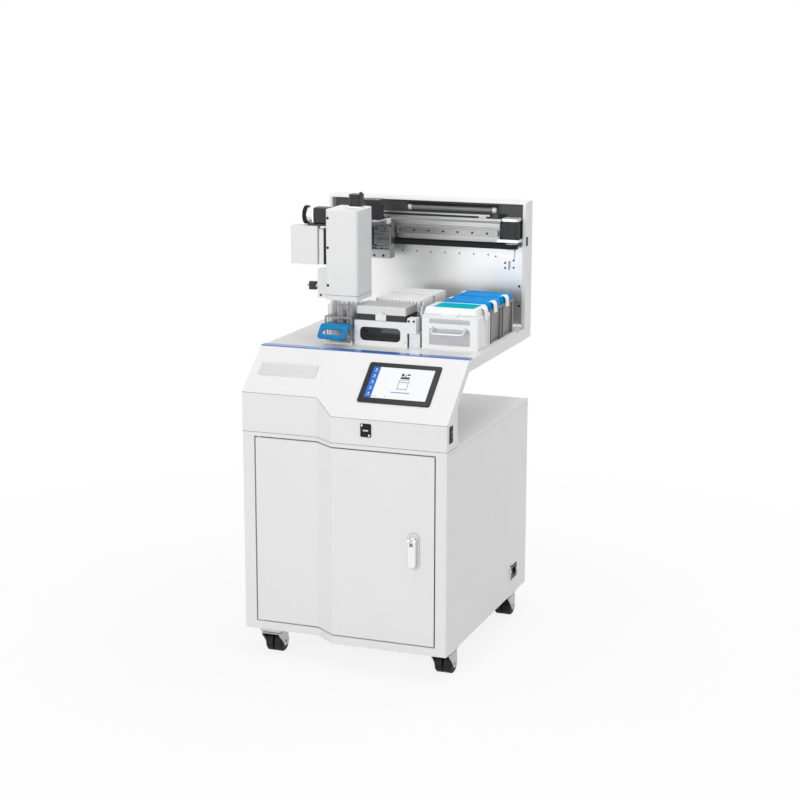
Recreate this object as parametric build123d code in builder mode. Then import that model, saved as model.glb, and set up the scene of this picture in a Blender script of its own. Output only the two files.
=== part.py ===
from build123d import *
import os
import math

os.makedirs("parts", exist_ok=True)

# ---------------------------------------------------------------------------
# Driving dimensions, in millimetres.
# X runs to the right, Y runs to the back and Z runs up from the floor.
# ---------------------------------------------------------------------------

# Cabinet: a sheet-metal cupboard whose front steps forward on its right half
WIDTH = 520.0
SIDE_X = WIDTH / 2
FRONT_Y = -305.0
BACK_Y = 313.0
STEP_DEPTH = 39.0
STEP_LEFT_X = -71.5
STEP_RIGHT_X = -20.5
LEFT_Y = FRONT_Y + STEP_DEPTH
BASE_Z = 62.0
BAND_Z = 534.0
TOP_Z = 544.0
SHEET = 2.0
FRAME_DEPTH = 24.0

# Door: one panel bent like a flat Z, hung at its left edge
OPENING_LEFT = -231.0
OPENING_RIGHT = 233.0
OPENING_BOTTOM = 81.5
DOOR_GAP = 3.0
DOOR_THICK = 18.0
DOOR_LEFT = OPENING_LEFT + DOOR_GAP
DOOR_RIGHT = OPENING_RIGHT - DOOR_GAP
DOOR_BOTTOM = OPENING_BOTTOM + DOOR_GAP
DOOR_TOP = BAND_Z - DOOR_GAP
HINGE_INSET = 7.0
HINGE_X = DOOR_LEFT + HINGE_INSET
HINGE_Y = LEFT_Y + HINGE_INSET
HINGE_PIN_R = 3.0
RUNNING = 0.05

# Door handle
HANDLE_X = 180.0
HANDLE_Z = 308.0
HANDLE_WIDTH = 32.0
HANDLE_HEIGHT = 89.0
SPINDLE_Z = HANDLE_Z + 26.0

# Casters
CASTER_LEFT_X = -194.0
CASTER_RIGHT_X = 234.0
CASTER_FRONT_Y = -242.0
CASTER_REAR_Y = 212.0
CASTER_TRAIL = 12.0
WHEEL_R = 24.0
WHEEL_WIDTH = 18.0
WHEEL_GAP = 5.0
AXLE_R = 4.0

# Console: a sloped front that carries the touch screen and the deck's edge
CONSOLE_FRONT_Z = 605.0
CONSOLE_BACK_Y = FRONT_Y + 70.0
CONSOLE_KINK_Z = 637.0
DECK_FRONT_Y = FRONT_Y + 149.0
DECK_Z = 727.0
DECK_THICK = 27.0
DECK_UNDER_Z = DECK_Z - DECK_THICK
SLOPE = math.atan2(DECK_Z - CONSOLE_FRONT_Z, DECK_FRONT_Y - FRONT_Y)

# Touch screen, on the slope
SCREEN_X = 115.5
SCREEN_Y = FRONT_Y + 83.0
SCREEN_WIDTH = 176.0
SCREEN_HEIGHT = 118.0
ACTIVE_WIDTH = 149.0
ACTIVE_HEIGHT = 91.0
BEZEL_PROUD = 3.0

# Rear housing
REAR_FRONT_Y = 272.0
REAR_BACK_Y = 326.0
REAR_TOP_Z = 1041.0
REAR_SIDE = 8.0
INNER_PANEL_Y = 292.0

# X gantry
BEAM_LEFT_X = -250.0
BEAM_RIGHT_X = 196.0
BEAM_FRONT_Y = 262.0
BEAM_BOTTOM_Z = 941.0
BEAM_TOP_Z = 997.0
RAIL_WIDTH = 15.0
RAIL_HEIGHT = 10.0
RAIL_Z = 963.0
MOTOR_SIDE = 42.3
X_MOTOR_X = 227.3
X_MOTOR_Y = 261.2
X_IDLER_X = -228.0
BELT_BOTTOM_Z = 927.0
BELT_WIDTH = 12.0
PULLEY_R = 14.0
BELT_INNER_R = 14.3
BELT_THICK = 1.7

# X carriage and cantilever arm
CARRIAGE_LEFT_X = -152.0
CARRIAGE_RIGHT_X = -73.0
CARRIAGE_BOTTOM_Z = 894.0
CARRIAGE_TOP_Z = 979.0
CARRIAGE_Y = 236.0
ARM_LEFT_X = -148.0
ARM_RIGHT_X = -139.0
ARM_FRONT_Y = -58.0
ARM_BOTTOM_Z = 912.0
ARM_TOP_Z = 998.0
ARM_RAIL_Z = 959.0

# Pipetting head
HEAD_LEFT_X = -126.5
HEAD_RIGHT_X = -45.5
HEAD_FRONT_Y = -76.0
HEAD_BACK_Y = 20.0
HEAD_BOTTOM_Z = 832.0
HEAD_TOP_Z = 1047.0
HEAD_PLATE = 7.0
NOZZLE_X = -95.0
NOZZLE_PITCH = 22.0
NOZZLE_FIRST_Y = -61.0
NOZZLE_COUNT = 4
NOZZLE_R = 4.0
NOZZLE_TIP_Z = 833.0

# Sample rack: three columns of four tubes, the middle column under the nozzles
TUBE_PITCH_X = 24.0
TUBE_R = 7.8
TUBE_WALL = 1.0
TUBE_TOP_Z = 820.0
RACK_LEFT_X = -131.0
RACK_RIGHT_X = -60.0
RACK_FRONT_Y = -77.0
RACK_BACK_Y = 22.0

# Heater-shaker module and the two plate stands behind it
MODULE_LEFT_X = -57.0
MODULE_RIGHT_X = 76.0
MODULE_FRONT_Y = -67.0
MODULE_TOP_Z = 787.0
SLAB_BOTTOM_Z = 802.0
SLAB_TOP_Z = 821.0
PLATE_LEFT_X = -49.0
PLATE_WIDTH = 127.8
PLATE_DEPTH = 85.5
PLATE_FRONTS = {"front": 38.5, "rear": 127.5}
PLATE_BOTTOM_Z = 782.0
PLATE_TOP_Z = 824.0

# Tip boxes at the right
BOX_LEFT_X = 111.0
BOX_RIGHT_X = 250.0
BOX_DOCK_Z = 730.0
BIN_FRONT_Y = -65.0
BIN_BACK_Y = 28.0
BIN_TOP_Z = 808.0
TIP_BOX_FRONTS = {"middle": 33.0, "rear": 126.0}
TIP_BOX_DEPTH = 88.0
TIP_BOX_TOP_Z = 812.0
LID_TOP_Z = 828.0


def block(low, high, mode=Mode.ADD):
    """Box from its lowest corner to its highest corner."""
    size = [b - a for a, b in zip(low, high)]
    middle = [(a + b) / 2 for a, b in zip(low, high)]
    with Locations(tuple(middle)):
        Box(*size, mode=mode)


def rod(start, direction, length, radius, mode=Mode.ADD):
    """Round bar or hole that starts at a point and runs in a direction."""
    with Locations(Plane(origin=start, z_dir=direction)):
        Cylinder(radius, length, align=(Align.CENTER, Align.CENTER, Align.MIN), mode=mode)


def stepped_plan(front_shift=0.0, side_shift=0.0, back_shift=0.0):
    """Corners of the stepped outline from above, moved in by the given shifts."""
    return [
        (-SIDE_X + side_shift, LEFT_Y + front_shift),
        (STEP_LEFT_X, LEFT_Y + front_shift),
        (STEP_RIGHT_X, FRONT_Y + front_shift),
        (SIDE_X - side_shift, FRONT_Y + front_shift),
        (SIDE_X - side_shift, BACK_Y - back_shift),
        (-SIDE_X + side_shift, BACK_Y - back_shift),
    ]


def slope_plane(x, y, lift=0.0):
    """Plane on the console's slope at a plan position, with its Z out of the slope."""
    height = CONSOLE_FRONT_Z + (y - FRONT_Y) * math.tan(SLOPE)
    normal = (0, -math.sin(SLOPE), math.cos(SLOPE))
    origin = Vector(x, y, height) + Vector(*normal) * lift
    return Plane(origin=origin, x_dir=(1, 0, 0), z_dir=normal)


# ---------------------------------------------------------------------------
# Cabinet
# ---------------------------------------------------------------------------

INLET_Y = 205.5
INLET_Z = 123.0
REAR_OPENING = (420.0, 360.0)
REAR_OPENING_Z = 300.0

with BuildPart() as cabinet_body:
    with BuildSketch(Plane.XY.offset(BASE_Z)):
        Polygon(*stepped_plan(), align=None)
    extrude(amount=BAND_Z - BASE_Z)
    with BuildSketch(Plane.XY.offset(BASE_Z + SHEET)):
        Polygon(*stepped_plan(FRAME_DEPTH, SHEET, SHEET), align=None)
    extrude(amount=BAND_Z - BASE_Z, mode=Mode.SUBTRACT)
    block(
        (OPENING_LEFT, FRONT_Y - 1, OPENING_BOTTOM),
        (OPENING_RIGHT, LEFT_Y + FRAME_DEPTH + 1, BAND_Z + 1),
        mode=Mode.SUBTRACT,
    )
    block(
        (SIDE_X - SHEET - 1, INLET_Y - 24, INLET_Z - 14),
        (SIDE_X + 1, INLET_Y + 24, INLET_Z + 14),
        mode=Mode.SUBTRACT,
    )
    with Locations((0, BACK_Y, REAR_OPENING_Z)):
        Box(REAR_OPENING[0], 4 * SHEET, REAR_OPENING[1], mode=Mode.SUBTRACT)
    for side in (-1, 1):
        front = LEFT_Y if side < 0 else FRONT_Y
        post_corner = cabinet_body.edges().filter_by(Axis.Z).filter_by_position(
            Axis.Y, front - 0.5, front + 0.5
        ).filter_by_position(Axis.X, side * SIDE_X - 0.5, side * SIDE_X + 0.5)
        fillet(post_corner, radius=2.0)
    # The base rail carries the lower hinge pin.
    rod((HINGE_X, HINGE_Y, OPENING_BOTTOM - 1), (0, 0, 1), 13.0, HINGE_PIN_R)
cabinet_body.part.label = "cabinet_body"
export_step(cabinet_body.part, "parts/cabinet_body.step")

with BuildPart() as cabinet_top:
    with BuildSketch(Plane.XY.offset(BAND_Z)):
        Polygon(*stepped_plan(), align=None)
    extrude(amount=TOP_Z - BAND_Z)
    chamfer(cabinet_top.faces().sort_by(Axis.Z)[0].edges(), length=0.8)
    with BuildSketch(Plane.XY.offset(BAND_Z)):
        Polygon(*stepped_plan(FRAME_DEPTH, 12.0, 12.0), align=None)
    extrude(amount=TOP_Z - BAND_Z - SHEET, mode=Mode.SUBTRACT)
    # Upper hinge pin of the door, held by the folded band
    rod((HINGE_X, HINGE_Y, BAND_Z + 1), (0, 0, -1), 13.0, HINGE_PIN_R)
cabinet_top.part.label = "cabinet_top"
export_step(cabinet_top.part, "parts/cabinet_top.step")

REAR_COVER_MARGIN = 12.0
LOUVRE_COUNT = 6
with BuildPart() as cabinet_rear_cover:
    with Locations((0, BACK_Y + SHEET / 2, REAR_OPENING_Z)):
        Box(REAR_OPENING[0] + 2 * REAR_COVER_MARGIN, SHEET, REAR_OPENING[1] + 2 * REAR_COVER_MARGIN)
    with BuildSketch(Plane.XZ.offset(-BACK_Y - 3 * SHEET)):
        with Locations((0, REAR_OPENING_Z + 90)):
            with GridLocations(200, 14, 2, LOUVRE_COUNT):
                SlotOverall(120, 5)
    extrude(amount=4 * SHEET, mode=Mode.SUBTRACT)
cabinet_rear_cover.part.label = "cabinet_rear_cover"
export_step(cabinet_rear_cover.part, "parts/cabinet_rear_cover.step")

# ---------------------------------------------------------------------------
# Door
# ---------------------------------------------------------------------------


def door_plan(front_shift, back_shift, end_shift):
    """Outline of the bent door between two depths behind its front face."""
    front = [
        (DOOR_LEFT + end_shift, LEFT_Y + front_shift),
        (STEP_LEFT_X, LEFT_Y + front_shift),
        (STEP_RIGHT_X, FRONT_Y + front_shift),
        (DOOR_RIGHT - end_shift, FRONT_Y + front_shift),
    ]
    back = [
        (DOOR_RIGHT - end_shift, FRONT_Y + back_shift),
        (STEP_RIGHT_X, FRONT_Y + back_shift),
        (STEP_LEFT_X, LEFT_Y + back_shift),
        (DOOR_LEFT + end_shift, LEFT_Y + back_shift),
    ]
    return front + back


HINGE_BLOCK = 15.0
with BuildPart() as door_panel:
    with BuildSketch(Plane.XY.offset(DOOR_BOTTOM)):
        Polygon(*door_plan(0, DOOR_THICK, 0), align=None)
    extrude(amount=DOOR_TOP - DOOR_BOTTOM)
    hinge_edge = door_panel.edges().filter_by(Axis.Z).filter_by_position(
        Axis.X, DOOR_LEFT - 1, DOOR_LEFT + 1
    ).filter_by_position(Axis.Y, LEFT_Y - 1, LEFT_Y + 1)
    fillet(hinge_edge, radius=1.8)
    with BuildSketch(Plane.XY.offset(DOOR_BOTTOM + SHEET)):
        Polygon(*door_plan(SHEET, DOOR_THICK + 1, SHEET), align=None)
    extrude(amount=DOOR_TOP - DOOR_BOTTOM - 2 * SHEET, mode=Mode.SUBTRACT)
    for low in (DOOR_BOTTOM, DOOR_TOP - HINGE_BLOCK):
        block(
            (DOOR_LEFT + SHEET, LEFT_Y + SHEET, low),
            (DOOR_LEFT + HINGE_BLOCK, LEFT_Y + DOOR_THICK, low + HINGE_BLOCK),
        )
        rod((HINGE_X, HINGE_Y, low - 1), (0, 0, 1), HINGE_BLOCK + 2, HINGE_PIN_R + RUNNING, Mode.SUBTRACT)
    rod((HANDLE_X, FRONT_Y - 1, SPINDLE_Z), (0, 1, 0), 6.0, 8.0, Mode.SUBTRACT)
door_panel.part.label = "door_panel"
export_step(door_panel.part, "parts/door_panel.step")

PLATE_PROUD = 4.0
with BuildPart() as door_handle_plate:
    with BuildSketch(Plane.XZ.offset(-FRONT_Y)):
        with Locations((HANDLE_X, HANDLE_Z)):
            SlotOverall(HANDLE_HEIGHT, HANDLE_WIDTH, rotation=90)
    extrude(amount=PLATE_PROUD, taper=12)
    rod((HANDLE_X, FRONT_Y + 1, SPINDLE_Z), (0, -1, 0), 10.0, 7.6, Mode.SUBTRACT)
door_handle_plate.part.label = "door_handle_plate"
export_step(door_handle_plate.part, "parts/door_handle_plate.step")

CAM_LENGTH = 68.0
CAM_Y = FRONT_Y + FRAME_DEPTH + 3.0
FORK_HALF = 4.0
LEVER_PIN_Y = FRONT_Y - PLATE_PROUD - 6.0
with BuildPart() as handle_spindle:
    rod((HANDLE_X, FRONT_Y - PLATE_PROUD - 0.4, SPINDLE_Z), (0, 1, 0), PLATE_PROUD + 38.0, 7.3)
    block(
        (HANDLE_X - FORK_HALF, LEVER_PIN_Y - 4, SPINDLE_Z - 5),
        (HANDLE_X + FORK_HALF, FRONT_Y - PLATE_PROUD - 0.2, SPINDLE_Z + 5),
    )
    with BuildSketch(Plane.XZ.offset(-CAM_Y)):
        with Locations((HANDLE_X, SPINDLE_Z - CAM_LENGTH / 2 + 10)):
            SlotOverall(CAM_LENGTH, 20, rotation=90)
    extrude(amount=-4.0)
    rod((HANDLE_X - 20, LEVER_PIN_Y, SPINDLE_Z), (1, 0, 0), 40, 1.5 + RUNNING, Mode.SUBTRACT)
handle_spindle.part.label = "handle_spindle"
export_step(handle_spindle.part, "parts/handle_spindle.step")

LEVER_WIDTH = 20.0
LEVER_BOTTOM_Z = HANDLE_Z - 38.0
LEVER_BARREL_R = 5.0
with BuildPart() as handle_lever:
    # A grip with a rounded foot, on a barrel round the hinge pin
    with BuildSketch(Plane.XZ.offset(-LEVER_PIN_Y - LEVER_BARREL_R)):
        with Locations((HANDLE_X, (SPINDLE_Z + LEVER_BOTTOM_Z) / 2)):
            grip = Rectangle(LEVER_WIDTH, SPINDLE_Z - LEVER_BOTTOM_Z)
        fillet(grip.vertices().group_by(Axis.Y)[0], radius=LEVER_WIDTH / 2 - 0.5)
    extrude(amount=2 * LEVER_BARREL_R)
    lever_rim = handle_lever.faces().sort_by(Axis.Y)[0].edges().sort_by(Axis.Z)[:-1]
    fillet(lever_rim, radius=3.0)
    rod(
        (HANDLE_X - LEVER_WIDTH / 2, LEVER_PIN_Y, SPINDLE_Z),
        (1, 0, 0),
        LEVER_WIDTH,
        LEVER_BARREL_R,
    )
    block(
        (HANDLE_X - FORK_HALF - 0.3, FRONT_Y - 20, SPINDLE_Z - 12),
        (HANDLE_X + FORK_HALF + 0.3, FRONT_Y, SPINDLE_Z + 6.0),
        mode=Mode.SUBTRACT,
    )
    rod((HANDLE_X - 8, LEVER_PIN_Y, SPINDLE_Z), (1, 0, 0), 16, 1.5)
handle_lever.part.label = "handle_lever"
export_step(handle_lever.part, "parts/handle_lever.step")

# ---------------------------------------------------------------------------
# Casters
# ---------------------------------------------------------------------------

CASTERS = {
    "front_left": (CASTER_LEFT_X, CASTER_FRONT_Y),
    "front_right": (CASTER_RIGHT_X, CASTER_FRONT_Y),
    "rear_left": (CASTER_LEFT_X, CASTER_REAR_Y),
    "rear_right": (CASTER_RIGHT_X, CASTER_REAR_Y),
}
MOUNT_PLATE = (52.0, 62.0, 3.0)
MOUNT_PLATE_Z = BASE_Z - MOUNT_PLATE[2]
KING_PIN_R = 5.0

with BuildPart() as caster_plates:
    for caster_x, caster_y in CASTERS.values():
        with Locations((caster_x, caster_y, MOUNT_PLATE_Z + MOUNT_PLATE[2] / 2)):
            Box(*MOUNT_PLATE)
        rod((caster_x, caster_y, BASE_Z + 1), (0, 0, -1), 5, KING_PIN_R + RUNNING, Mode.SUBTRACT)
caster_plates.part.label = "caster_plates"
export_step(caster_plates.part, "parts/caster_plates.step")

HOOD_HALF = WHEEL_WIDTH + WHEEL_GAP / 2 + 1.0
CHEEK = 2.5
HOOD_TOP_Z = 55.0
HOOD_ROOF_Z = 52.0

for corner, (caster_x, caster_y) in CASTERS.items():
    wheel_y = caster_y + CASTER_TRAIL
    with BuildPart() as caster_fork:
        # The hood is a pressed steel channel whose front edge curves down to the axle.
        with BuildSketch(Plane.YZ.offset(caster_x - HOOD_HALF - CHEEK)):
            with BuildLine():
                Line((caster_y - 26, HOOD_TOP_Z), (caster_y + 22, HOOD_TOP_Z))
                Line((caster_y + 22, HOOD_TOP_Z), (wheel_y + 12, WHEEL_R - 8))
                Line((wheel_y + 12, WHEEL_R - 8), (wheel_y - 10, WHEEL_R - 8))
                ThreePointArc(
                    (wheel_y - 10, WHEEL_R - 8),
                    (caster_y - 14, WHEEL_R + 12),
                    (caster_y - 26, HOOD_TOP_Z - 8),
                )
                Line((caster_y - 26, HOOD_TOP_Z - 8), (caster_y - 26, HOOD_TOP_Z))
            make_face()
        extrude(amount=2 * (HOOD_HALF + CHEEK))
        block(
            (caster_x - HOOD_HALF, caster_y - 40, 0),
            (caster_x + HOOD_HALF, caster_y + 40, HOOD_ROOF_Z),
            mode=Mode.SUBTRACT,
        )
        rod((caster_x, caster_y, HOOD_TOP_Z - 1), (0, 0, 1), MOUNT_PLATE_Z - HOOD_TOP_Z + 0.8, 18)
        rod((caster_x, caster_y, HOOD_TOP_Z - 1), (0, 0, 1), BASE_Z - HOOD_TOP_Z + 0.8, KING_PIN_R)
        rod(
            (caster_x - HOOD_HALF - CHEEK - 2, wheel_y, WHEEL_R),
            (1, 0, 0),
            2 * (HOOD_HALF + CHEEK + 2),
            AXLE_R,
        )
    caster_fork.part.label = f"caster_fork_{corner}"
    export_step(caster_fork.part, f"parts/caster_fork_{corner}.step")

    with BuildPart() as caster_wheels:
        with BuildSketch(Plane.YZ.offset(caster_x)) as wheel_ring:
            with Locations((wheel_y, WHEEL_R)):
                Circle(WHEEL_R)
                Circle(AXLE_R + RUNNING, mode=Mode.SUBTRACT)
        extrude(amount=WHEEL_WIDTH + WHEEL_GAP / 2, both=True)
        rims = caster_wheels.edges().filter_by(GeomType.CIRCLE).group_by(SortBy.RADIUS)[-1]
        chamfer(rims, length=3.0)
        # A groove between the two treads, down to the hub that joins them
        with BuildSketch(Plane.YZ.offset(caster_x)):
            with Locations((wheel_y, WHEEL_R)):
                Circle(WHEEL_R + 1)
                Circle(AXLE_R + 5, mode=Mode.SUBTRACT)
        extrude(amount=WHEEL_GAP / 2, both=True, mode=Mode.SUBTRACT)
    caster_wheels.part.label = f"caster_wheels_{corner}"
    export_step(caster_wheels.part, f"parts/caster_wheels_{corner}.step")

# ---------------------------------------------------------------------------
# Console
# ---------------------------------------------------------------------------

USB_X = 65.0
USB_Z = 580.0
USB_FLANGE = (26.0, 31.0)
SWITCH_Y = FRONT_Y + 24.0
SWITCH_Z = 581.0
SWITCH_HOLE = (14.0, 30.0)


def console_profile(inset):
    """Side profile of the console with each wall moved in by the inset."""
    rise = inset / math.cos(SLOPE)
    return [
        (FRONT_Y + inset, TOP_Z + inset),
        (FRONT_Y + inset, CONSOLE_FRONT_Z + inset * math.tan(SLOPE) - rise),
        (DECK_FRONT_Y - inset, DECK_Z - inset * math.tan(SLOPE) - rise),
        (DECK_FRONT_Y - inset, DECK_UNDER_Z - inset * math.tan(SLOPE) + rise),
        (CONSOLE_BACK_Y - inset, CONSOLE_KINK_Z - inset * math.tan(SLOPE) + rise),
        (CONSOLE_BACK_Y - inset, TOP_Z + inset),
    ]


with BuildPart() as console_core:
    with BuildSketch(Plane.YZ.offset(-SIDE_X + SHEET)):
        Polygon(*console_profile(SHEET), align=None)
    extrude(amount=WIDTH - 2 * SHEET)
    with BuildSketch(Plane.XY.offset(TOP_Z - 10)):
        Polygon(*stepped_plan(SHEET, SHEET, SHEET), align=None)
    extrude(amount=DECK_Z - TOP_Z + 20, mode=Mode.INTERSECT)

with BuildPart() as console_shell:
    with BuildSketch(Plane.YZ.offset(-SIDE_X)):
        Polygon(*console_profile(0), align=None)
    extrude(amount=WIDTH)
    with BuildSketch(Plane.XY.offset(TOP_Z - 10)):
        Polygon(*stepped_plan(), align=None)
    extrude(amount=DECK_Z - TOP_Z + 20, mode=Mode.INTERSECT)
    front_corners = console_shell.edges().filter_by(Axis.Z).filter_by_position(
        Axis.Y, FRONT_Y - 1, LEFT_Y + 1
    ).filter_by_position(Axis.X, SIDE_X - 1, SIDE_X + 1)
    fillet(front_corners, radius=2.0)
    add(console_core.part, mode=Mode.SUBTRACT)
    with BuildSketch(slope_plane(SCREEN_X, SCREEN_Y, 5)):
        Rectangle(SCREEN_WIDTH - 12, SCREEN_HEIGHT - 12)
    extrude(amount=-12, mode=Mode.SUBTRACT)
    with BuildSketch(Plane.XZ.offset(-FRONT_Y + 5)):
        with Locations((USB_X, USB_Z)):
            Circle(11.5)
    extrude(amount=-12, mode=Mode.SUBTRACT)
    with Locations((SIDE_X, SWITCH_Y, SWITCH_Z)):
        Box(4 * SHEET, SWITCH_HOLE[0] + 0.6, SWITCH_HOLE[1] + 0.6, mode=Mode.SUBTRACT)
console_shell.part.label = "console_shell"
export_step(console_shell.part, "parts/console_shell.step")

with BuildPart() as touch_screen:
    with BuildSketch(slope_plane(SCREEN_X, SCREEN_Y)):
        RectangleRounded(SCREEN_WIDTH, SCREEN_HEIGHT, 6)
    extrude(amount=BEZEL_PROUD)
    out_of_slope = Axis(origin=(0, 0, 0), direction=(0, -math.sin(SLOPE), math.cos(SLOPE)))
    bezel_rim = touch_screen.faces().sort_by(out_of_slope)[-1].edges()
    chamfer(bezel_rim, length=1.2)
    with BuildSketch(slope_plane(SCREEN_X, SCREEN_Y)):
        Rectangle(SCREEN_WIDTH - 13, SCREEN_HEIGHT - 13)
    extrude(amount=-14)
    with BuildSketch(slope_plane(SCREEN_X, SCREEN_Y, BEZEL_PROUD)):
        Rectangle(ACTIVE_WIDTH, ACTIVE_HEIGHT)
    extrude(amount=-0.6, mode=Mode.SUBTRACT)
touch_screen.part.label = "touch_screen"
export_step(touch_screen.part, "parts/touch_screen.step")

with BuildPart() as usb_port:
    with BuildSketch(Plane.XZ.offset(-FRONT_Y)):
        with Locations((USB_X, USB_Z)):
            RectangleRounded(*USB_FLANGE, 3)
    extrude(amount=2.5)
    chamfer(usb_port.faces().sort_by(Axis.Y)[0].edges(), length=0.8)
    with BuildSketch(Plane.XZ.offset(-FRONT_Y)):
        with Locations((USB_X, USB_Z)):
            Circle(11.0)
    extrude(amount=-16)
    with BuildSketch(Plane.XZ.offset(-FRONT_Y + 3)):
        with Locations((USB_X, USB_Z)):
            Rectangle(13.5, 6.0)
    extrude(amount=-14, mode=Mode.SUBTRACT)
    with BuildSketch(Plane.XZ.offset(-FRONT_Y - 12)):
        with Locations((USB_X, USB_Z - 1.0)):
            Rectangle(12.0, 2.0)
    extrude(amount=12.5)
usb_port.part.label = "usb_port"
export_step(usb_port.part, "parts/usb_port.step")

with BuildPart() as power_switch_frame:
    block(
        (SIDE_X, SWITCH_Y - 10.5, SWITCH_Z - 19.5),
        (SIDE_X + 1.8, SWITCH_Y + 10.5, SWITCH_Z + 19.5),
    )
    chamfer(power_switch_frame.faces().sort_by(Axis.X)[-1].edges(), length=0.8)
    block(
        (SIDE_X - 18, SWITCH_Y - SWITCH_HOLE[0] / 2, SWITCH_Z - SWITCH_HOLE[1] / 2),
        (SIDE_X, SWITCH_Y + SWITCH_HOLE[0] / 2, SWITCH_Z + SWITCH_HOLE[1] / 2),
    )
    block(
        (SIDE_X - 12, SWITCH_Y - 5.5, SWITCH_Z - 12.5),
        (SIDE_X + 3, SWITCH_Y + 5.5, SWITCH_Z + 12.5),
        mode=Mode.SUBTRACT,
    )
power_switch_frame.part.label = "power_switch_frame"
export_step(power_switch_frame.part, "parts/power_switch_frame.step")

with BuildPart() as power_rocker:
    # Two flats that meet in a shallow valley, on a half-round back that clears the frame
    with BuildSketch(Plane.XZ.offset(-SWITCH_Y + 5.0)):
        Polygon(
            (SIDE_X - 6, SWITCH_Z - 8),
            (SIDE_X + 1.5, SWITCH_Z - 11.0),
            (SIDE_X + 3.0, SWITCH_Z - 11.0),
            (SIDE_X + 2.0, SWITCH_Z),
            (SIDE_X + 3.0, SWITCH_Z + 11.0),
            (SIDE_X + 1.5, SWITCH_Z + 11.0),
            (SIDE_X - 6, SWITCH_Z + 8),
            align=None,
        )
    extrude(amount=-10.0)
power_rocker.part.label = "power_rocker"
export_step(power_rocker.part, "parts/power_rocker.step")

INLET_FLANGE = (58.0, 46.0)
INLET_SOCKET = (24.5, 17.0)
with BuildPart() as power_inlet:
    with BuildSketch(Plane.YZ.offset(SIDE_X)):
        with Locations((INLET_Y, INLET_Z)):
            inlet_face = Rectangle(*INLET_FLANGE)
        chamfer(inlet_face.vertices(), length=12)
    extrude(amount=3.0)
    chamfer(power_inlet.faces().sort_by(Axis.X)[-1].edges(), length=0.8)
    block(
        (SIDE_X - 24, INLET_Y - 23, INLET_Z - 13),
        (SIDE_X, INLET_Y + 23, INLET_Z + 13),
    )
    block(
        (SIDE_X - 18, INLET_Y - INLET_SOCKET[0] / 2, INLET_Z - INLET_SOCKET[1] / 2),
        (SIDE_X + 4, INLET_Y + INLET_SOCKET[0] / 2, INLET_Z + INLET_SOCKET[1] / 2),
        mode=Mode.SUBTRACT,
    )
    for pin_y, pin_z in ((-7.0, -2.0), (0.0, 2.0), (7.0, -2.0)):
        block(
            (SIDE_X - 19, INLET_Y + pin_y - 1, INLET_Z + pin_z - 2),
            (SIDE_X - 3, INLET_Y + pin_y + 1, INLET_Z + pin_z + 2),
        )
power_inlet.part.label = "power_inlet"
export_step(power_inlet.part, "parts/power_inlet.step")

# ---------------------------------------------------------------------------
# Electronics on the cabinet floor
# ---------------------------------------------------------------------------

FLOOR_Z = BASE_Z + SHEET
with BuildPart() as electronics_tray:
    block((-60, 110, FLOOR_Z), (120, 300, FLOOR_Z + 3))
    block((-50, 120, FLOOR_Z + 3), (70, 290, FLOOR_Z + 53))
    with BuildSketch(Plane.XZ.offset(-119)):
        with Locations((10, FLOOR_Z + 28)):
            with GridLocations(12, 12, 8, 3):
                Circle(3)
    extrude(amount=-3, mode=Mode.SUBTRACT)
    block((82, 130, FLOOR_Z + 3), (86, 280, FLOOR_Z + 93))
    for row in range(3):
        block((86, 145 + 42 * row, FLOOR_Z + 20), (100, 165 + 42 * row, FLOOR_Z + 70))
electronics_tray.part.label = "electronics_tray"
export_step(electronics_tray.part, "parts/electronics_tray.step")

# ---------------------------------------------------------------------------
# Deck
# ---------------------------------------------------------------------------

DECK_WALL = 3.0
HOLE_LEFT_X = -227.0
HOLE_RIGHT_X = -151.0
HOLE_FRONT_Y = -16.0
HOLE_BACK_Y = 62.0
HOLE_R = 2.6
ACCESSORY_HOLES = [
    (x, y) for x in (HOLE_LEFT_X, HOLE_RIGHT_X) for y in (HOLE_FRONT_Y, HOLE_BACK_Y)
]

with BuildPart() as deck_tray:
    block((-SIDE_X, DECK_FRONT_Y, DECK_UNDER_Z), (SIDE_X, REAR_FRONT_Y, DECK_Z))
    block(
        (-SIDE_X + DECK_WALL, DECK_FRONT_Y + DECK_WALL, DECK_UNDER_Z - 1),
        (SIDE_X - DECK_WALL, REAR_FRONT_Y - DECK_WALL, DECK_Z - 2 * DECK_WALL),
        mode=Mode.SUBTRACT,
    )
    block(
        (-SIDE_X + DECK_WALL, DECK_FRONT_Y - 1, DECK_Z - DECK_WALL),
        (SIDE_X - DECK_WALL, REAR_FRONT_Y + 1, DECK_Z + 1),
        mode=Mode.SUBTRACT,
    )
    for hole_x, hole_y in ACCESSORY_HOLES:
        rod((hole_x, hole_y, DECK_Z + 1), (0, 0, -1), 12, HOLE_R, Mode.SUBTRACT)
deck_tray.part.label = "deck_tray"
export_step(deck_tray.part, "parts/deck_tray.step")

with BuildPart() as deck_plate:
    block(
        (-SIDE_X + DECK_WALL, DECK_FRONT_Y, DECK_Z - DECK_WALL),
        (SIDE_X - DECK_WALL, REAR_FRONT_Y, DECK_Z),
    )
    for hole_x, hole_y in ACCESSORY_HOLES:
        rod((hole_x, hole_y, DECK_Z + 1), (0, 0, -1), 12, HOLE_R, Mode.SUBTRACT)
deck_plate.part.label = "deck_plate"
export_step(deck_plate.part, "parts/deck_plate.step")

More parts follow.
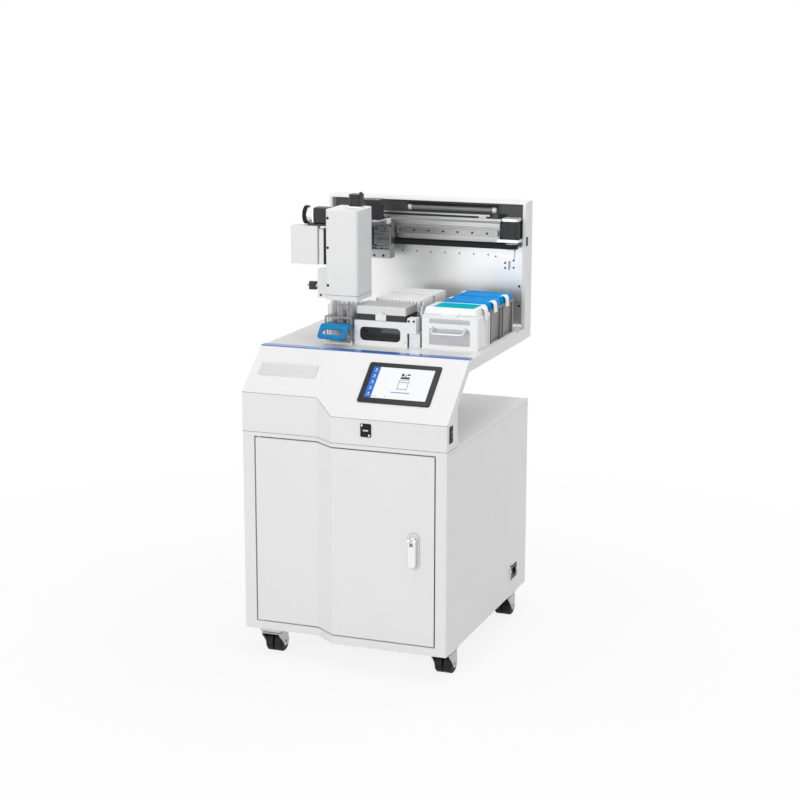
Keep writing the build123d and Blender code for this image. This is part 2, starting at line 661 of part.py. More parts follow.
STRIP_DEPTH = 24.0
STRIP_THICK = 2.0
with BuildPart() as deck_front_strip:
    block(
        (-SIDE_X, DECK_FRONT_Y, DECK_Z),
        (SIDE_X, DECK_FRONT_Y + STRIP_DEPTH, DECK_Z + STRIP_THICK),
    )
    strip_nose = deck_front_strip.edges().filter_by(Axis.X).group_by(Axis.Z)[-1].sort_by(Axis.Y)[0]
    fillet(strip_nose, radius=1.6)
deck_front_strip.part.label = "deck_front_strip"
export_step(deck_front_strip.part, "parts/deck_front_strip.step")

COLUMN = (110.0, 150.0)
COLUMN_Y = 190.0
with BuildPart() as support_column:
    with BuildSketch(Plane.XY.offset(TOP_Z)):
        with Locations((0, COLUMN_Y)):
            RectangleRounded(*COLUMN, 6)
            RectangleRounded(COLUMN[0] - 6, COLUMN[1] - 6, 3, mode=Mode.SUBTRACT)
    extrude(amount=DECK_Z - 2 * DECK_WALL - TOP_Z)
support_column.part.label = "support_column"
export_step(support_column.part, "parts/support_column.step")

# ---------------------------------------------------------------------------
# Rear housing and what is fixed to it
# ---------------------------------------------------------------------------

REAR_SKIN = 3.0
REAR_ROOF = 6.0
HOUSING_BOTTOM_Z = DECK_UNDER_Z + 1.0
with BuildPart() as rear_housing:
    with BuildSketch(Plane.YZ.offset(-SIDE_X)):
        Polygon(
            (REAR_FRONT_Y, HOUSING_BOTTOM_Z),
            (REAR_BACK_Y, HOUSING_BOTTOM_Z),
            (REAR_BACK_Y, REAR_TOP_Z),
            (REAR_FRONT_Y, REAR_TOP_Z),
            align=None,
        )
    extrude(amount=WIDTH)
    top_front_corner = rear_housing.edges().filter_by(Axis.X).group_by(Axis.Z)[-1].sort_by(Axis.Y)[0]
    fillet(top_front_corner, radius=9.0)
    # The front is open between the side flanges; roof, back and floor stay.
    block(
        (-SIDE_X + REAR_SIDE, REAR_FRONT_Y - 1, HOUSING_BOTTOM_Z + REAR_SKIN),
        (SIDE_X - REAR_SIDE, REAR_BACK_Y - REAR_SKIN, REAR_TOP_Z - REAR_ROOF),
        mode=Mode.SUBTRACT,
    )
rear_housing.part.label = "rear_housing"
export_step(rear_housing.part, "parts/rear_housing.step")

PANEL_THICK = 3.0
PANEL_HALF = SIDE_X - REAR_SIDE - 0.5
STRIP_BOTTOM_Z = 899.0
STRIP_TOP_Z = 929.0
CHANNEL_LEFT_X = 223.0
CHANNEL_TOP_Z = 866.0
CHANNEL_Y = INNER_PANEL_Y - 3.0
CHANNEL_FOOT_R = CHANNEL_Y - REAR_FRONT_Y
with BuildPart() as rear_inner_panel:
    block(
        (-PANEL_HALF, INNER_PANEL_Y, HOUSING_BOTTOM_Z + REAR_SKIN),
        (PANEL_HALF, INNER_PANEL_Y + PANEL_THICK, REAR_TOP_Z - REAR_ROOF - 1),
    )
    # Foot that closes the deck behind the deck plate
    block((-PANEL_HALF, REAR_FRONT_Y, DECK_Z - 3), (PANEL_HALF, INNER_PANEL_Y, DECK_Z))
    # Stiffening strip below the beam, which takes a row of screws
    block((BEAM_LEFT_X, INNER_PANEL_Y - 5, STRIP_BOTTOM_Z), (BEAM_RIGHT_X + 30, INNER_PANEL_Y, STRIP_TOP_Z))
    # Right-hand cable channel, whose foot curves forward to the deck
    with BuildSketch(Plane.YZ.offset(CHANNEL_LEFT_X)):
        with BuildLine():
            Polyline(
                (CHANNEL_Y, DECK_Z + CHANNEL_FOOT_R),
                (CHANNEL_Y, CHANNEL_TOP_Z),
                (INNER_PANEL_Y, CHANNEL_TOP_Z),
                (INNER_PANEL_Y, DECK_Z),
                (REAR_FRONT_Y, DECK_Z),
            )
            CenterArc((REAR_FRONT_Y, DECK_Z + CHANNEL_FOOT_R), CHANNEL_FOOT_R, -90, 90)
        make_face()
    extrude(amount=PANEL_HALF - CHANNEL_LEFT_X)
    # Small bracket beside the channel
    block((197, INNER_PANEL_Y - 10, 871), (213, INNER_PANEL_Y, 893))
rear_inner_panel.part.label = "rear_inner_panel"
export_step(rear_inner_panel.part, "parts/rear_inner_panel.step")

LAMP_LEFT_X = -49.0
LAMP_RIGHT_X = 182.0
LAMP_Y = 279.0
LAMP_Z = 1018.0
LAMP_R = 6.0
LAMP_CAP = 9.0
with BuildPart() as uv_lamp:
    rod((LAMP_LEFT_X + 2, LAMP_Y, LAMP_Z), (1, 0, 0), LAMP_RIGHT_X - LAMP_LEFT_X - 4, LAMP_R)
    for cap_x, direction in ((LAMP_LEFT_X, 1), (LAMP_RIGHT_X, -1)):
        rod((cap_x, LAMP_Y, LAMP_Z), (direction, 0, 0), LAMP_CAP, LAMP_R + 1.3)
        clip_x = cap_x + direction * 14
        block((clip_x - 3, LAMP_Y, LAMP_Z - 3), (clip_x + 3, INNER_PANEL_Y, LAMP_Z + 3))
uv_lamp.part.label = "uv_lamp"
export_step(uv_lamp.part, "parts/uv_lamp.step")

with BuildPart() as x_beam:
    # Extruded aluminium beam: a box with two grooves along its front and a top step
    with BuildSketch(Plane.YZ.offset(BEAM_LEFT_X)):
        Polygon(
            (BEAM_FRONT_Y, BEAM_BOTTOM_Z),
            (INNER_PANEL_Y, BEAM_BOTTOM_Z),
            (INNER_PANEL_Y, BEAM_TOP_Z),
            (BEAM_FRONT_Y + 10, BEAM_TOP_Z),
            (BEAM_FRONT_Y + 10, BEAM_TOP_Z - 6),
            (BEAM_FRONT_Y, BEAM_TOP_Z - 10),
            (BEAM_FRONT_Y, BEAM_TOP_Z - 20),
            (BEAM_FRONT_Y + 2, BEAM_TOP_Z - 21),
            (BEAM_FRONT_Y + 2, BEAM_TOP_Z - 23),
            (BEAM_FRONT_Y, BEAM_TOP_Z - 24),
            align=None,
        )
    extrude(amount=BEAM_RIGHT_X - BEAM_LEFT_X)
    # Idler bracket at the left end, with its fixed pin
    block(
        (X_IDLER_X - 20, X_MOTOR_Y - 16, BEAM_BOTTOM_Z + 1),
        (X_IDLER_X + 20, BEAM_FRONT_Y, BEAM_BOTTOM_Z + 6),
    )
    rod((X_IDLER_X, X_MOTOR_Y, BEAM_BOTTOM_Z + 3), (0, 0, -1), 19, 3.0)
    # Shelf that carries the wire tray above the beam
    block(
        (BEAM_LEFT_X, INNER_PANEL_Y - 18, BEAM_TOP_Z + 5),
        (BEAM_RIGHT_X - 30, INNER_PANEL_Y - 6, BEAM_TOP_Z + 9),
    )
    block(
        (BEAM_LEFT_X + 20, INNER_PANEL_Y - 14, BEAM_TOP_Z),
        (BEAM_LEFT_X + 40, INNER_PANEL_Y - 8, BEAM_TOP_Z + 5),
    )
    block(
        (BEAM_RIGHT_X - 60, INNER_PANEL_Y - 14, BEAM_TOP_Z),
        (BEAM_RIGHT_X - 40, INNER_PANEL_Y - 8, BEAM_TOP_Z + 5),
    )
x_beam.part.label = "x_beam"
export_step(x_beam.part, "parts/x_beam.step")

RAIL_HOLE_PITCH = 38.5
RAIL_HOLES = 11
RAIL_HOLE_RIGHT_X = 167.0
RAIL_FRONT_Y = BEAM_FRONT_Y - RAIL_HEIGHT
with BuildPart() as x_rail:
    with BuildSketch(Plane.YZ.offset(BEAM_LEFT_X + 4)):
        with Locations((BEAM_FRONT_Y - RAIL_HEIGHT / 2, RAIL_Z)):
            Rectangle(RAIL_HEIGHT, RAIL_WIDTH)
        with Locations(
            (BEAM_FRONT_Y - 4.5, RAIL_Z + RAIL_WIDTH / 2),
            (BEAM_FRONT_Y - 4.5, RAIL_Z - RAIL_WIDTH / 2),
        ):
            Rectangle(3.0, 2.4, mode=Mode.SUBTRACT)
    extrude(amount=BEAM_RIGHT_X - BEAM_LEFT_X - 6)
    with BuildSketch(Plane.XZ.offset(-RAIL_FRONT_Y + 1)):
        with Locations((RAIL_HOLE_RIGHT_X - RAIL_HOLE_PITCH * (RAIL_HOLES - 1) / 2, RAIL_Z)):
            with GridLocations(RAIL_HOLE_PITCH, 1, RAIL_HOLES, 1):
                Circle(3.0)
    extrude(amount=-5.5, mode=Mode.SUBTRACT)
x_rail.part.label = "x_rail"
export_step(x_rail.part, "parts/x_rail.step")


def stepper_motor(centre_x, centre_y, bottom_z, length, side, cap):
    """Square stepper motor standing on its face: two end caps and a laminated body."""
    with BuildPart() as motor:
        with BuildSketch(Plane.XY.offset(bottom_z)):
            with Locations((centre_x, centre_y)):
                square = Rectangle(side, side)
            chamfer(square.vertices(), length=side * 0.09)
        extrude(amount=cap)
        with BuildSketch(Plane.XY.offset(bottom_z + cap)):
            with Locations((centre_x, centre_y)):
                body = Rectangle(side - 1.2, side - 1.2)
            chamfer(body.vertices(), length=side * 0.12)
        extrude(amount=length - 2 * cap)
        with BuildSketch(Plane.XY.offset(bottom_z + length - cap)):
            with Locations((centre_x, centre_y)):
                lid = Rectangle(side, side)
            chamfer(lid.vertices(), length=side * 0.09)
        extrude(amount=cap)
    return motor.part


MOTOR_CAP = 6.0
X_BRACKET_Z = 945.0
X_BRACKET_THICK = 7.0
SHAFT_R = 2.5
with BuildPart() as x_motor:
    add(stepper_motor(X_MOTOR_X, X_MOTOR_Y, X_BRACKET_Z + X_BRACKET_THICK, 50, MOTOR_SIDE, MOTOR_CAP))
    block(
        (BEAM_RIGHT_X + 1, X_MOTOR_Y - 24, X_BRACKET_Z),
        (PANEL_HALF, INNER_PANEL_Y, X_BRACKET_Z + X_BRACKET_THICK),
    )
    rod((X_MOTOR_X, X_MOTOR_Y, X_BRACKET_Z - 1), (0, 0, 1), X_BRACKET_THICK + 1, 11, Mode.SUBTRACT)
    rod((X_MOTOR_X, X_MOTOR_Y, X_BRACKET_Z), (0, 0, 1), 20, SHAFT_R + RUNNING, Mode.SUBTRACT)
x_motor.part.label = "x_motor"
export_step(x_motor.part, "parts/x_motor.step")

BELT_SIDE_GAP = 0.3
with BuildPart() as x_belt:
    with BuildSketch(Plane.XY.offset(BELT_BOTTOM_Z + BELT_SIDE_GAP)):
        with Locations(((X_IDLER_X + X_MOTOR_X) / 2, X_MOTOR_Y)):
            SlotCenterToCenter(X_MOTOR_X - X_IDLER_X, 2 * (BELT_INNER_R + BELT_THICK))
            SlotCenterToCenter(X_MOTOR_X - X_IDLER_X, 2 * BELT_INNER_R, mode=Mode.SUBTRACT)
    extrude(amount=BELT_WIDTH - 2 * BELT_SIDE_GAP)
x_belt.part.label = "x_belt"
export_step(x_belt.part, "parts/x_belt.step")

PULLEY_TEETH = 28
FLANGE = 1.2
FLANGE_R = PULLEY_R + 2.5
with BuildPart() as x_drive_pulley:
    with BuildSketch(Plane.XY.offset(BELT_BOTTOM_Z)):
        with Locations((X_MOTOR_X, X_MOTOR_Y)):
            Circle(PULLEY_R)
            with PolarLocations(PULLEY_R, PULLEY_TEETH):
                Rectangle(1.6, 1.5, mode=Mode.SUBTRACT)
    extrude(amount=BELT_WIDTH)
    for flange_z in (BELT_BOTTOM_Z - FLANGE, BELT_BOTTOM_Z + BELT_WIDTH):
        rod((X_MOTOR_X, X_MOTOR_Y, flange_z), (0, 0, 1), FLANGE, FLANGE_R)
    rod((X_MOTOR_X, X_MOTOR_Y, BELT_BOTTOM_Z), (0, 0, 1), X_BRACKET_Z + 18 - BELT_BOTTOM_Z, SHAFT_R)
x_drive_pulley.part.label = "x_drive_pulley"
export_step(x_drive_pulley.part, "parts/x_drive_pulley.step")

with BuildPart() as x_idler_pulley:
    rod((X_IDLER_X, X_MOTOR_Y, BELT_BOTTOM_Z), (0, 0, 1), BELT_WIDTH, PULLEY_R)
    for flange_z in (BELT_BOTTOM_Z - FLANGE, BELT_BOTTOM_Z + BELT_WIDTH):
        rod((X_IDLER_X, X_MOTOR_Y, flange_z), (0, 0, 1), FLANGE, FLANGE_R)
    rod((X_IDLER_X, X_MOTOR_Y, BELT_BOTTOM_Z - 5), (0, 0, 1), 30, 3.0 + RUNNING, Mode.SUBTRACT)
x_idler_pulley.part.label = "x_idler_pulley"
export_step(x_idler_pulley.part, "parts/x_idler_pulley.step")

# ---------------------------------------------------------------------------
# X carriage, cantilever arm and its motor
# ---------------------------------------------------------------------------

PLATE_BACK_Y = CARRIAGE_Y + 8.0
CLEAR = 0.3
BEARING_HALF = 12.5
with BuildPart() as x_carriage:
    block(
        (CARRIAGE_LEFT_X, CARRIAGE_Y, CARRIAGE_BOTTOM_Z),
        (CARRIAGE_RIGHT_X, PLATE_BACK_Y, CARRIAGE_TOP_Z),
    )
    # Linear bearing block that wraps the rail
    block(
        (CARRIAGE_LEFT_X + 10, PLATE_BACK_Y, RAIL_Z - BEARING_HALF),
        (CARRIAGE_RIGHT_X - 8, BEAM_FRONT_Y - 1.5, RAIL_Z + BEARING_HALF),
    )
    block(
        (CARRIAGE_LEFT_X, RAIL_FRONT_Y - CLEAR, RAIL_Z - RAIL_WIDTH / 2 - CLEAR),
        (CARRIAGE_RIGHT_X, BEAM_FRONT_Y, RAIL_Z + RAIL_WIDTH / 2 + CLEAR),
        mode=Mode.SUBTRACT,
    )
    # Lower bracket with its two screws, and a gusset behind the arm
    block(
        (-128, CARRIAGE_Y - 22, CARRIAGE_BOTTOM_Z),
        (CARRIAGE_RIGHT_X, CARRIAGE_Y - 18, CARRIAGE_BOTTOM_Z + 22),
    )
    block(
        (CARRIAGE_RIGHT_X - 4, CARRIAGE_Y - 18, CARRIAGE_BOTTOM_Z),
        (CARRIAGE_RIGHT_X, CARRIAGE_Y, CARRIAGE_TOP_Z - 8),
    )
    block((-128, CARRIAGE_Y - 18, CARRIAGE_BOTTOM_Z), (-124, CARRIAGE_Y, CARRIAGE_TOP_Z - 8))
    # Face plate with lightening holes
    block((-122, CARRIAGE_Y - 8, CARRIAGE_BOTTOM_Z + 24), (CARRIAGE_RIGHT_X, CARRIAGE_Y, CARRIAGE_TOP_Z))
    with BuildSketch(Plane.XZ.offset(-CARRIAGE_Y + 9)):
        with Locations(
            (-98, CARRIAGE_BOTTOM_Z + 40),
            (-84, CARRIAGE_BOTTOM_Z + 40),
            (-104, CARRIAGE_BOTTOM_Z + 56),
        ):
            Circle(4.0)
        with Locations((-92, CARRIAGE_BOTTOM_Z + 68)):
            SlotOverall(22, 9)
    extrude(amount=-5, mode=Mode.SUBTRACT)
x_carriage.part.label = "x_carriage"
export_step(x_carriage.part, "parts/x_carriage.step")

Y_RAIL_WIDTH = 12.0
Y_RAIL_HEIGHT = 8.0
Y_RAIL_RIGHT_X = ARM_RIGHT_X + Y_RAIL_HEIGHT
with BuildPart() as y_arm:
    with BuildSketch(Plane.YZ.offset(ARM_LEFT_X)):
        # Deep at the carriage, tapering a little towards the free end
        Polygon(
            (ARM_FRONT_Y, ARM_BOTTOM_Z + 8),
            (ARM_FRONT_Y + 30, ARM_BOTTOM_Z),
            (CARRIAGE_Y, ARM_BOTTOM_Z),
            (CARRIAGE_Y, ARM_TOP_Z - 20),
            (CARRIAGE_Y - 60, ARM_TOP_Z),
            (ARM_FRONT_Y, ARM_TOP_Z),
            align=None,
        )
        with Locations(
            (40, ARM_RAIL_Z + 20),
            (100, ARM_RAIL_Z + 20),
            (40, ARM_RAIL_Z - 24),
            (100, ARM_RAIL_Z - 24),
        ):
            SlotOverall(40, 14, mode=Mode.SUBTRACT)
    extrude(amount=ARM_RIGHT_X - ARM_LEFT_X)
    block(
        (ARM_RIGHT_X, ARM_FRONT_Y + 4, ARM_RAIL_Z - Y_RAIL_WIDTH / 2),
        (Y_RAIL_RIGHT_X, 168, ARM_RAIL_Z + Y_RAIL_WIDTH / 2),
    )
y_arm.part.label = "y_arm"
export_step(y_arm.part, "parts/y_arm.step")

Y_MOTOR_X = -109.0
Y_MOTOR_Y = 194.0
Y_MOTOR_Z = 994.0
with BuildPart() as y_motor:
    add(stepper_motor(Y_MOTOR_X, Y_MOTOR_Y, Y_MOTOR_Z, 49, MOTOR_SIDE, MOTOR_CAP))
    # Bracket plate under the motor, carried by the arm and the carriage
    block((ARM_RIGHT_X, Y_MOTOR_Y - 22, Y_MOTOR_Z - 4), (Y_MOTOR_X + 24, CARRIAGE_Y + 4, Y_MOTOR_Z))
    block((ARM_RIGHT_X, Y_MOTOR_Y - 10, ARM_TOP_Z - 30), (ARM_RIGHT_X + 5, CARRIAGE_Y, Y_MOTOR_Z - 4))
    block((-100, CARRIAGE_Y - 3, CARRIAGE_TOP_Z), (Y_MOTOR_X + 24, CARRIAGE_Y + 4, Y_MOTOR_Z - 4))
    # Pair of guide rollers at the bracket's right end
    for roller_y in (CARRIAGE_Y - 12, CARRIAGE_Y - 1):
        rod((Y_MOTOR_X + 25, roller_y, Y_MOTOR_Z - 14), (0, 0, 1), 16, 5.0)
y_motor.part.label = "y_motor"
export_step(y_motor.part, "parts/y_motor.step")

# ---------------------------------------------------------------------------
# Pipetting head
# ---------------------------------------------------------------------------

COVER_WALL = 2.0
COVER_BOTTOM_Z = HEAD_BOTTOM_Z + HEAD_PLATE
SLIDER_FRONT_Y = -48.0
SLIDER_BACK_Y = -8.0
HEAD_MIDDLE_X = (HEAD_LEFT_X + HEAD_RIGHT_X) / 2
HEAD_MIDDLE_Y = (HEAD_FRONT_Y + HEAD_BACK_Y) / 2
HEAD_DEPTH = HEAD_BACK_Y - HEAD_FRONT_Y
HEAD_WIDTH = HEAD_RIGHT_X - HEAD_LEFT_X
HEAD_CORNER_R = 6.0

with BuildPart() as head_cover:
    with BuildSketch(Plane.XY.offset(COVER_BOTTOM_Z)):
        with Locations((HEAD_MIDDLE_X, HEAD_MIDDLE_Y)):
            RectangleRounded(HEAD_WIDTH, HEAD_DEPTH, HEAD_CORNER_R)
    extrude(amount=HEAD_TOP_Z - COVER_BOTTOM_Z)
    fillet(head_cover.faces().sort_by(Axis.Z)[-1].edges(), radius=3.0)
    with BuildSketch(Plane.XY.offset(COVER_BOTTOM_Z)):
        with Locations((HEAD_MIDDLE_X, HEAD_MIDDLE_Y)):
            RectangleRounded(
                HEAD_WIDTH - 2 * COVER_WALL, HEAD_DEPTH - 2 * COVER_WALL, HEAD_CORNER_R - COVER_WALL
            )
    extrude(amount=HEAD_TOP_Z - COVER_BOTTOM_Z - COVER_WALL, mode=Mode.SUBTRACT)
    block(
        (HEAD_LEFT_X - 1, SLIDER_FRONT_Y - 3, ARM_RAIL_Z - 18),
        (HEAD_LEFT_X + COVER_WALL + 1, SLIDER_BACK_Y + 3, ARM_RAIL_Z + 18),
        mode=Mode.SUBTRACT,
    )
head_cover.part.label = "head_cover"
export_step(head_cover.part, "parts/head_cover.step")

NOZZLE_YS = [NOZZLE_FIRST_Y + NOZZLE_PITCH * i for i in range(NOZZLE_COUNT)]
BACK_PLATE_Y = HEAD_BACK_Y - COVER_WALL - 5.0
GUIDE_Y = BACK_PLATE_Y - 3.5
SIDE_PLATE_X = -157.0
SIDE_PLATE_TOP_Z = 904.0
SOLENOID_Z = 860.5
with BuildPart() as head_frame:
    with BuildSketch(Plane.XY.offset(HEAD_BOTTOM_Z)):
        with Locations((HEAD_MIDDLE_X, HEAD_MIDDLE_Y)):
            RectangleRounded(HEAD_WIDTH, HEAD_DEPTH, HEAD_CORNER_R)
        with Locations(*[(NOZZLE_X, y) for y in NOZZLE_YS]):
            Circle(NOZZLE_R + 2.0, mode=Mode.SUBTRACT)
    extrude(amount=HEAD_PLATE)
    block(
        (HEAD_LEFT_X + HEAD_CORNER_R, BACK_PLATE_Y, COVER_BOTTOM_Z),
        (HEAD_RIGHT_X - HEAD_CORNER_R, BACK_PLATE_Y + 5, HEAD_TOP_Z - 6),
    )
    # Vertical guide on the back plate
    block((NOZZLE_X - 4.5, GUIDE_Y, COVER_BOTTOM_Z + 6), (NOZZLE_X + 4.5, BACK_PLATE_Y, HEAD_TOP_Z - 10))
    # Side plate that carries the slider, reaching forward inside the cover
    block(
        (HEAD_LEFT_X + COVER_WALL + 0.3, SLIDER_FRONT_Y, ARM_RAIL_Z - 15),
        (HEAD_LEFT_X + COVER_WALL + 5.3, BACK_PLATE_Y + 1, ARM_RAIL_Z + 15),
    )
    # Slider that wraps the arm's rail
    block(
        (ARM_RIGHT_X + 1.0, SLIDER_FRONT_Y, ARM_RAIL_Z - 13.5),
        (HEAD_LEFT_X + COVER_WALL + 0.5, SLIDER_BACK_Y, ARM_RAIL_Z + 13.5),
    )
    block(
        (ARM_RIGHT_X, SLIDER_FRONT_Y - 1, ARM_RAIL_Z - Y_RAIL_WIDTH / 2 - CLEAR),
        (Y_RAIL_RIGHT_X + CLEAR, SLIDER_BACK_Y + 1, ARM_RAIL_Z + Y_RAIL_WIDTH / 2 + CLEAR),
        mode=Mode.SUBTRACT,
    )
    # Side plate under the arm, with its rounded corner and a solenoid valve
    block((SIDE_PLATE_X, -52, HEAD_BOTTOM_Z), (HEAD_LEFT_X, -48, SIDE_PLATE_TOP_Z))
    side_plate_corner = head_frame.edges().filter_by(Axis.Y).filter_by_position(
        Axis.X, SIDE_PLATE_X - 1, SIDE_PLATE_X + 1
    ).filter_by_position(Axis.Z, SIDE_PLATE_TOP_Z - 1, SIDE_PLATE_TOP_Z + 1)
    fillet(side_plate_corner, radius=8)
    rod((SIDE_PLATE_X, -50, SOLENOID_Z), (-1, 0, 0), 5, 4.0)
    block((SIDE_PLATE_X - 21, -56, SOLENOID_Z - 9.5), (SIDE_PLATE_X - 4, -44, SOLENOID_Z + 9.5))
    rod((SIDE_PLATE_X - 21, -50, SOLENOID_Z), (-1, 0, 0), 7, 1.2)
head_frame.part.label = "head_frame"
export_step(head_frame.part, "parts/head_frame.step")

Z_MOTOR_X = -72.0
Z_MOTOR_Y = -14.0
with BuildPart() as z_motor:
    block((Z_MOTOR_X - 16, Z_MOTOR_Y - 16, HEAD_TOP_Z), (Z_MOTOR_X + 16, Z_MOTOR_Y + 16, HEAD_TOP_Z + 3))
    add(stepper_motor(Z_MOTOR_X, Z_MOTOR_Y, HEAD_TOP_Z + 3, 28, 30.0, 2.0))
    block((Z_MOTOR_X + 9, Z_MOTOR_Y - 4, HEAD_TOP_Z + 31), (Z_MOTOR_X + 14, Z_MOTOR_Y + 4, HEAD_TOP_Z + 36))
z_motor.part.label = "z_motor"
export_step(z_motor.part, "parts/z_motor.step")

PUMP_Y = -46.0
PUMP_Z = 1028.5
PUMP_LEFT_X = -165.0
PUMP_SIDE = 38.0
BRIDGE_TOP_Z = PUMP_Z - PUMP_SIDE / 2
with BuildPart() as pump_motor:
    with BuildSketch(Plane.YZ.offset(PUMP_LEFT_X)):
        with Locations((PUMP_Y, PUMP_Z)):
            pump_square = Rectangle(PUMP_SIDE, PUMP_SIDE)
        chamfer(pump_square.vertices(), length=3.5)
    extrude(amount=HEAD_LEFT_X - PUMP_LEFT_X)
    rod((PUMP_LEFT_X - 15, PUMP_Y, PUMP_Z), (1, 0, 0), 15, 18.0)
    rod((PUMP_LEFT_X - 25, PUMP_Y, PUMP_Z), (1, 0, 0), 12, 3.0)
pump_motor.part.label = "pump_motor"
export_step(pump_motor.part, "parts/pump_motor.step")

KNOB_R = 22.0
with BuildPart() as pump_knob:
    with BuildSketch(Plane.YZ.offset(PUMP_LEFT_X - 24)):
        with Locations((PUMP_Y, PUMP_Z)):
            Circle(KNOB_R)
            Circle(3.0 + RUNNING, mode=Mode.SUBTRACT)
            with PolarLocations(KNOB_R + 0.6, 20):
                Circle(1.6, mode=Mode.SUBTRACT)
    extrude(amount=8.0)
pump_knob.part.label = "pump_knob"
export_step(pump_knob.part, "parts/pump_knob.step")

VALVE_LEFT_X = -220.0
VALVE_RIGHT_X = -151.0
VALVE_BOTTOM_Z = 913.0
VALVE_TOP_Z = 1005.0
BRIDGE_LEFT_X = -176.0
with BuildPart() as valve_box:
    block((VALVE_LEFT_X, -66, VALVE_BOTTOM_Z), (VALVE_RIGHT_X, -44, VALVE_TOP_Z))
    fillet(valve_box.edges().filter_by(Axis.Z), radius=3.0)
    fillet(valve_box.faces().sort_by(Axis.Z)[-1].edges(), radius=2.0)
    # Bridge plate over the arm, which hangs the box from the pump motor and the head
    block((BRIDGE_LEFT_X, -66, VALVE_TOP_Z), (HEAD_LEFT_X, -26, BRIDGE_TOP_Z))
valve_box.part.label = "valve_box"
export_step(valve_box.part, "parts/valve_box.step")

NOZZLE_BLOCK_Z = 930.0
with BuildPart() as nozzle_block:
    block((NOZZLE_X - 17, -70, NOZZLE_BLOCK_Z), (NOZZLE_X + 17, GUIDE_Y - CLEAR, NOZZLE_BLOCK_Z + 24))
    fillet(nozzle_block.edges().filter_by(Axis.Z), radius=3)
    for nozzle_y in NOZZLE_YS:
        with Locations((NOZZLE_X, nozzle_y, (NOZZLE_BLOCK_Z + NOZZLE_TIP_Z + 18) / 2)):
            Cylinder(NOZZLE_R, NOZZLE_BLOCK_Z - NOZZLE_TIP_Z - 18)
        with Locations((NOZZLE_X, nozzle_y, NOZZLE_TIP_Z + 9)):
            Cone(2.2, NOZZLE_R, 18)
        rod((NOZZLE_X, nozzle_y, NOZZLE_BLOCK_Z + 24), (0, 0, 1), 20, 3.0)
nozzle_block.part.label = "nozzle_block"
export_step(nozzle_block.part, "parts/nozzle_block.step")

# ---------------------------------------------------------------------------
# Sample rack
# ---------------------------------------------------------------------------

TUBE_CENTRES = [(NOZZLE_X + TUBE_PITCH_X * column, y) for column in (-1, 0, 1) for y in NOZZLE_YS]
RACK_WIDTH = RACK_RIGHT_X - RACK_LEFT_X
RACK_DEPTH = RACK_BACK_Y - RACK_FRONT_Y
RACK_X = (RACK_LEFT_X + RACK_RIGHT_X) / 2
RACK_Y = (RACK_FRONT_Y + RACK_BACK_Y) / 2
RACK_BASE_Z = DECK_Z
RACK_BASE_THICK = 5.0
GUIDE_PLATE_Z = 790.0

with BuildPart() as rack_frame:
    with BuildSketch(Plane.XY.offset(RACK_BASE_Z)):
        with Locations((RACK_X, RACK_Y)):
            RectangleRounded(RACK_WIDTH, RACK_DEPTH, 3)
    extrude(amount=RACK_BASE_THICK)
    with BuildSketch(Plane.XY.offset(GUIDE_PLATE_Z)):
        with Locations((RACK_X, RACK_Y)):
            RectangleRounded(RACK_WIDTH, RACK_DEPTH, 3)
        with Locations(*TUBE_CENTRES):
            Circle(TUBE_R + CLEAR, mode=Mode.SUBTRACT)
    extrude(amount=2.5)
    with Locations((RACK_X, RACK_Y, (RACK_BASE_Z + 2 + GUIDE_PLATE_Z + 2) / 2)):
        with GridLocations(RACK_WIDTH - 6, RACK_DEPTH - 6, 2, 2):
            Cylinder(2.2, GUIDE_PLATE_Z - RACK_BASE_Z)
rack_frame.part.label = "rack_frame"
export_step(rack_frame.part, "parts/rack_frame.step")

HOLDER_Z = 766.0
HOLDER_THICK = 9.0
HANDLE_TILT = 44.0
RACK_HANDLE_HEIGHT = 42.0
HANDLE_SLOT = (52.0, 16.0)
HANDLE_PLANE = Plane(
    origin=(RACK_X, RACK_FRONT_Y - 29, 761),
    x_dir=(1, 0, 0),
    z_dir=(0, -math.cos(math.radians(HANDLE_TILT)), math.sin(math.radians(HANDLE_TILT))),
)
with BuildPart() as rack_handle:
    with BuildSketch(Plane.XY.offset(HOLDER_Z)):
        with Locations((RACK_X, RACK_Y - 2)):
            RectangleRounded(RACK_WIDTH, RACK_DEPTH + 4, 3)
        with Locations((RACK_X, RACK_FRONT_Y - 10)):
            Rectangle(RACK_WIDTH, 18)
        with Locations(*TUBE_CENTRES):
            Circle(TUBE_R + CLEAR, mode=Mode.SUBTRACT)
        with Locations((RACK_X, RACK_Y)):
            with GridLocations(RACK_WIDTH - 6, RACK_DEPTH - 6, 2, 2):
                Circle(2.4, mode=Mode.SUBTRACT)
    extrude(amount=HOLDER_THICK)
    with BuildSketch(HANDLE_PLANE):
        RectangleRounded(RACK_WIDTH, RACK_HANDLE_HEIGHT, 7)
        with Locations((0, -2)):
            SlotOverall(*HANDLE_SLOT, mode=Mode.SUBTRACT)
    extrude(amount=4)
rack_handle.part.label = "rack_handle"
export_step(rack_handle.part, "parts/rack_handle.step")

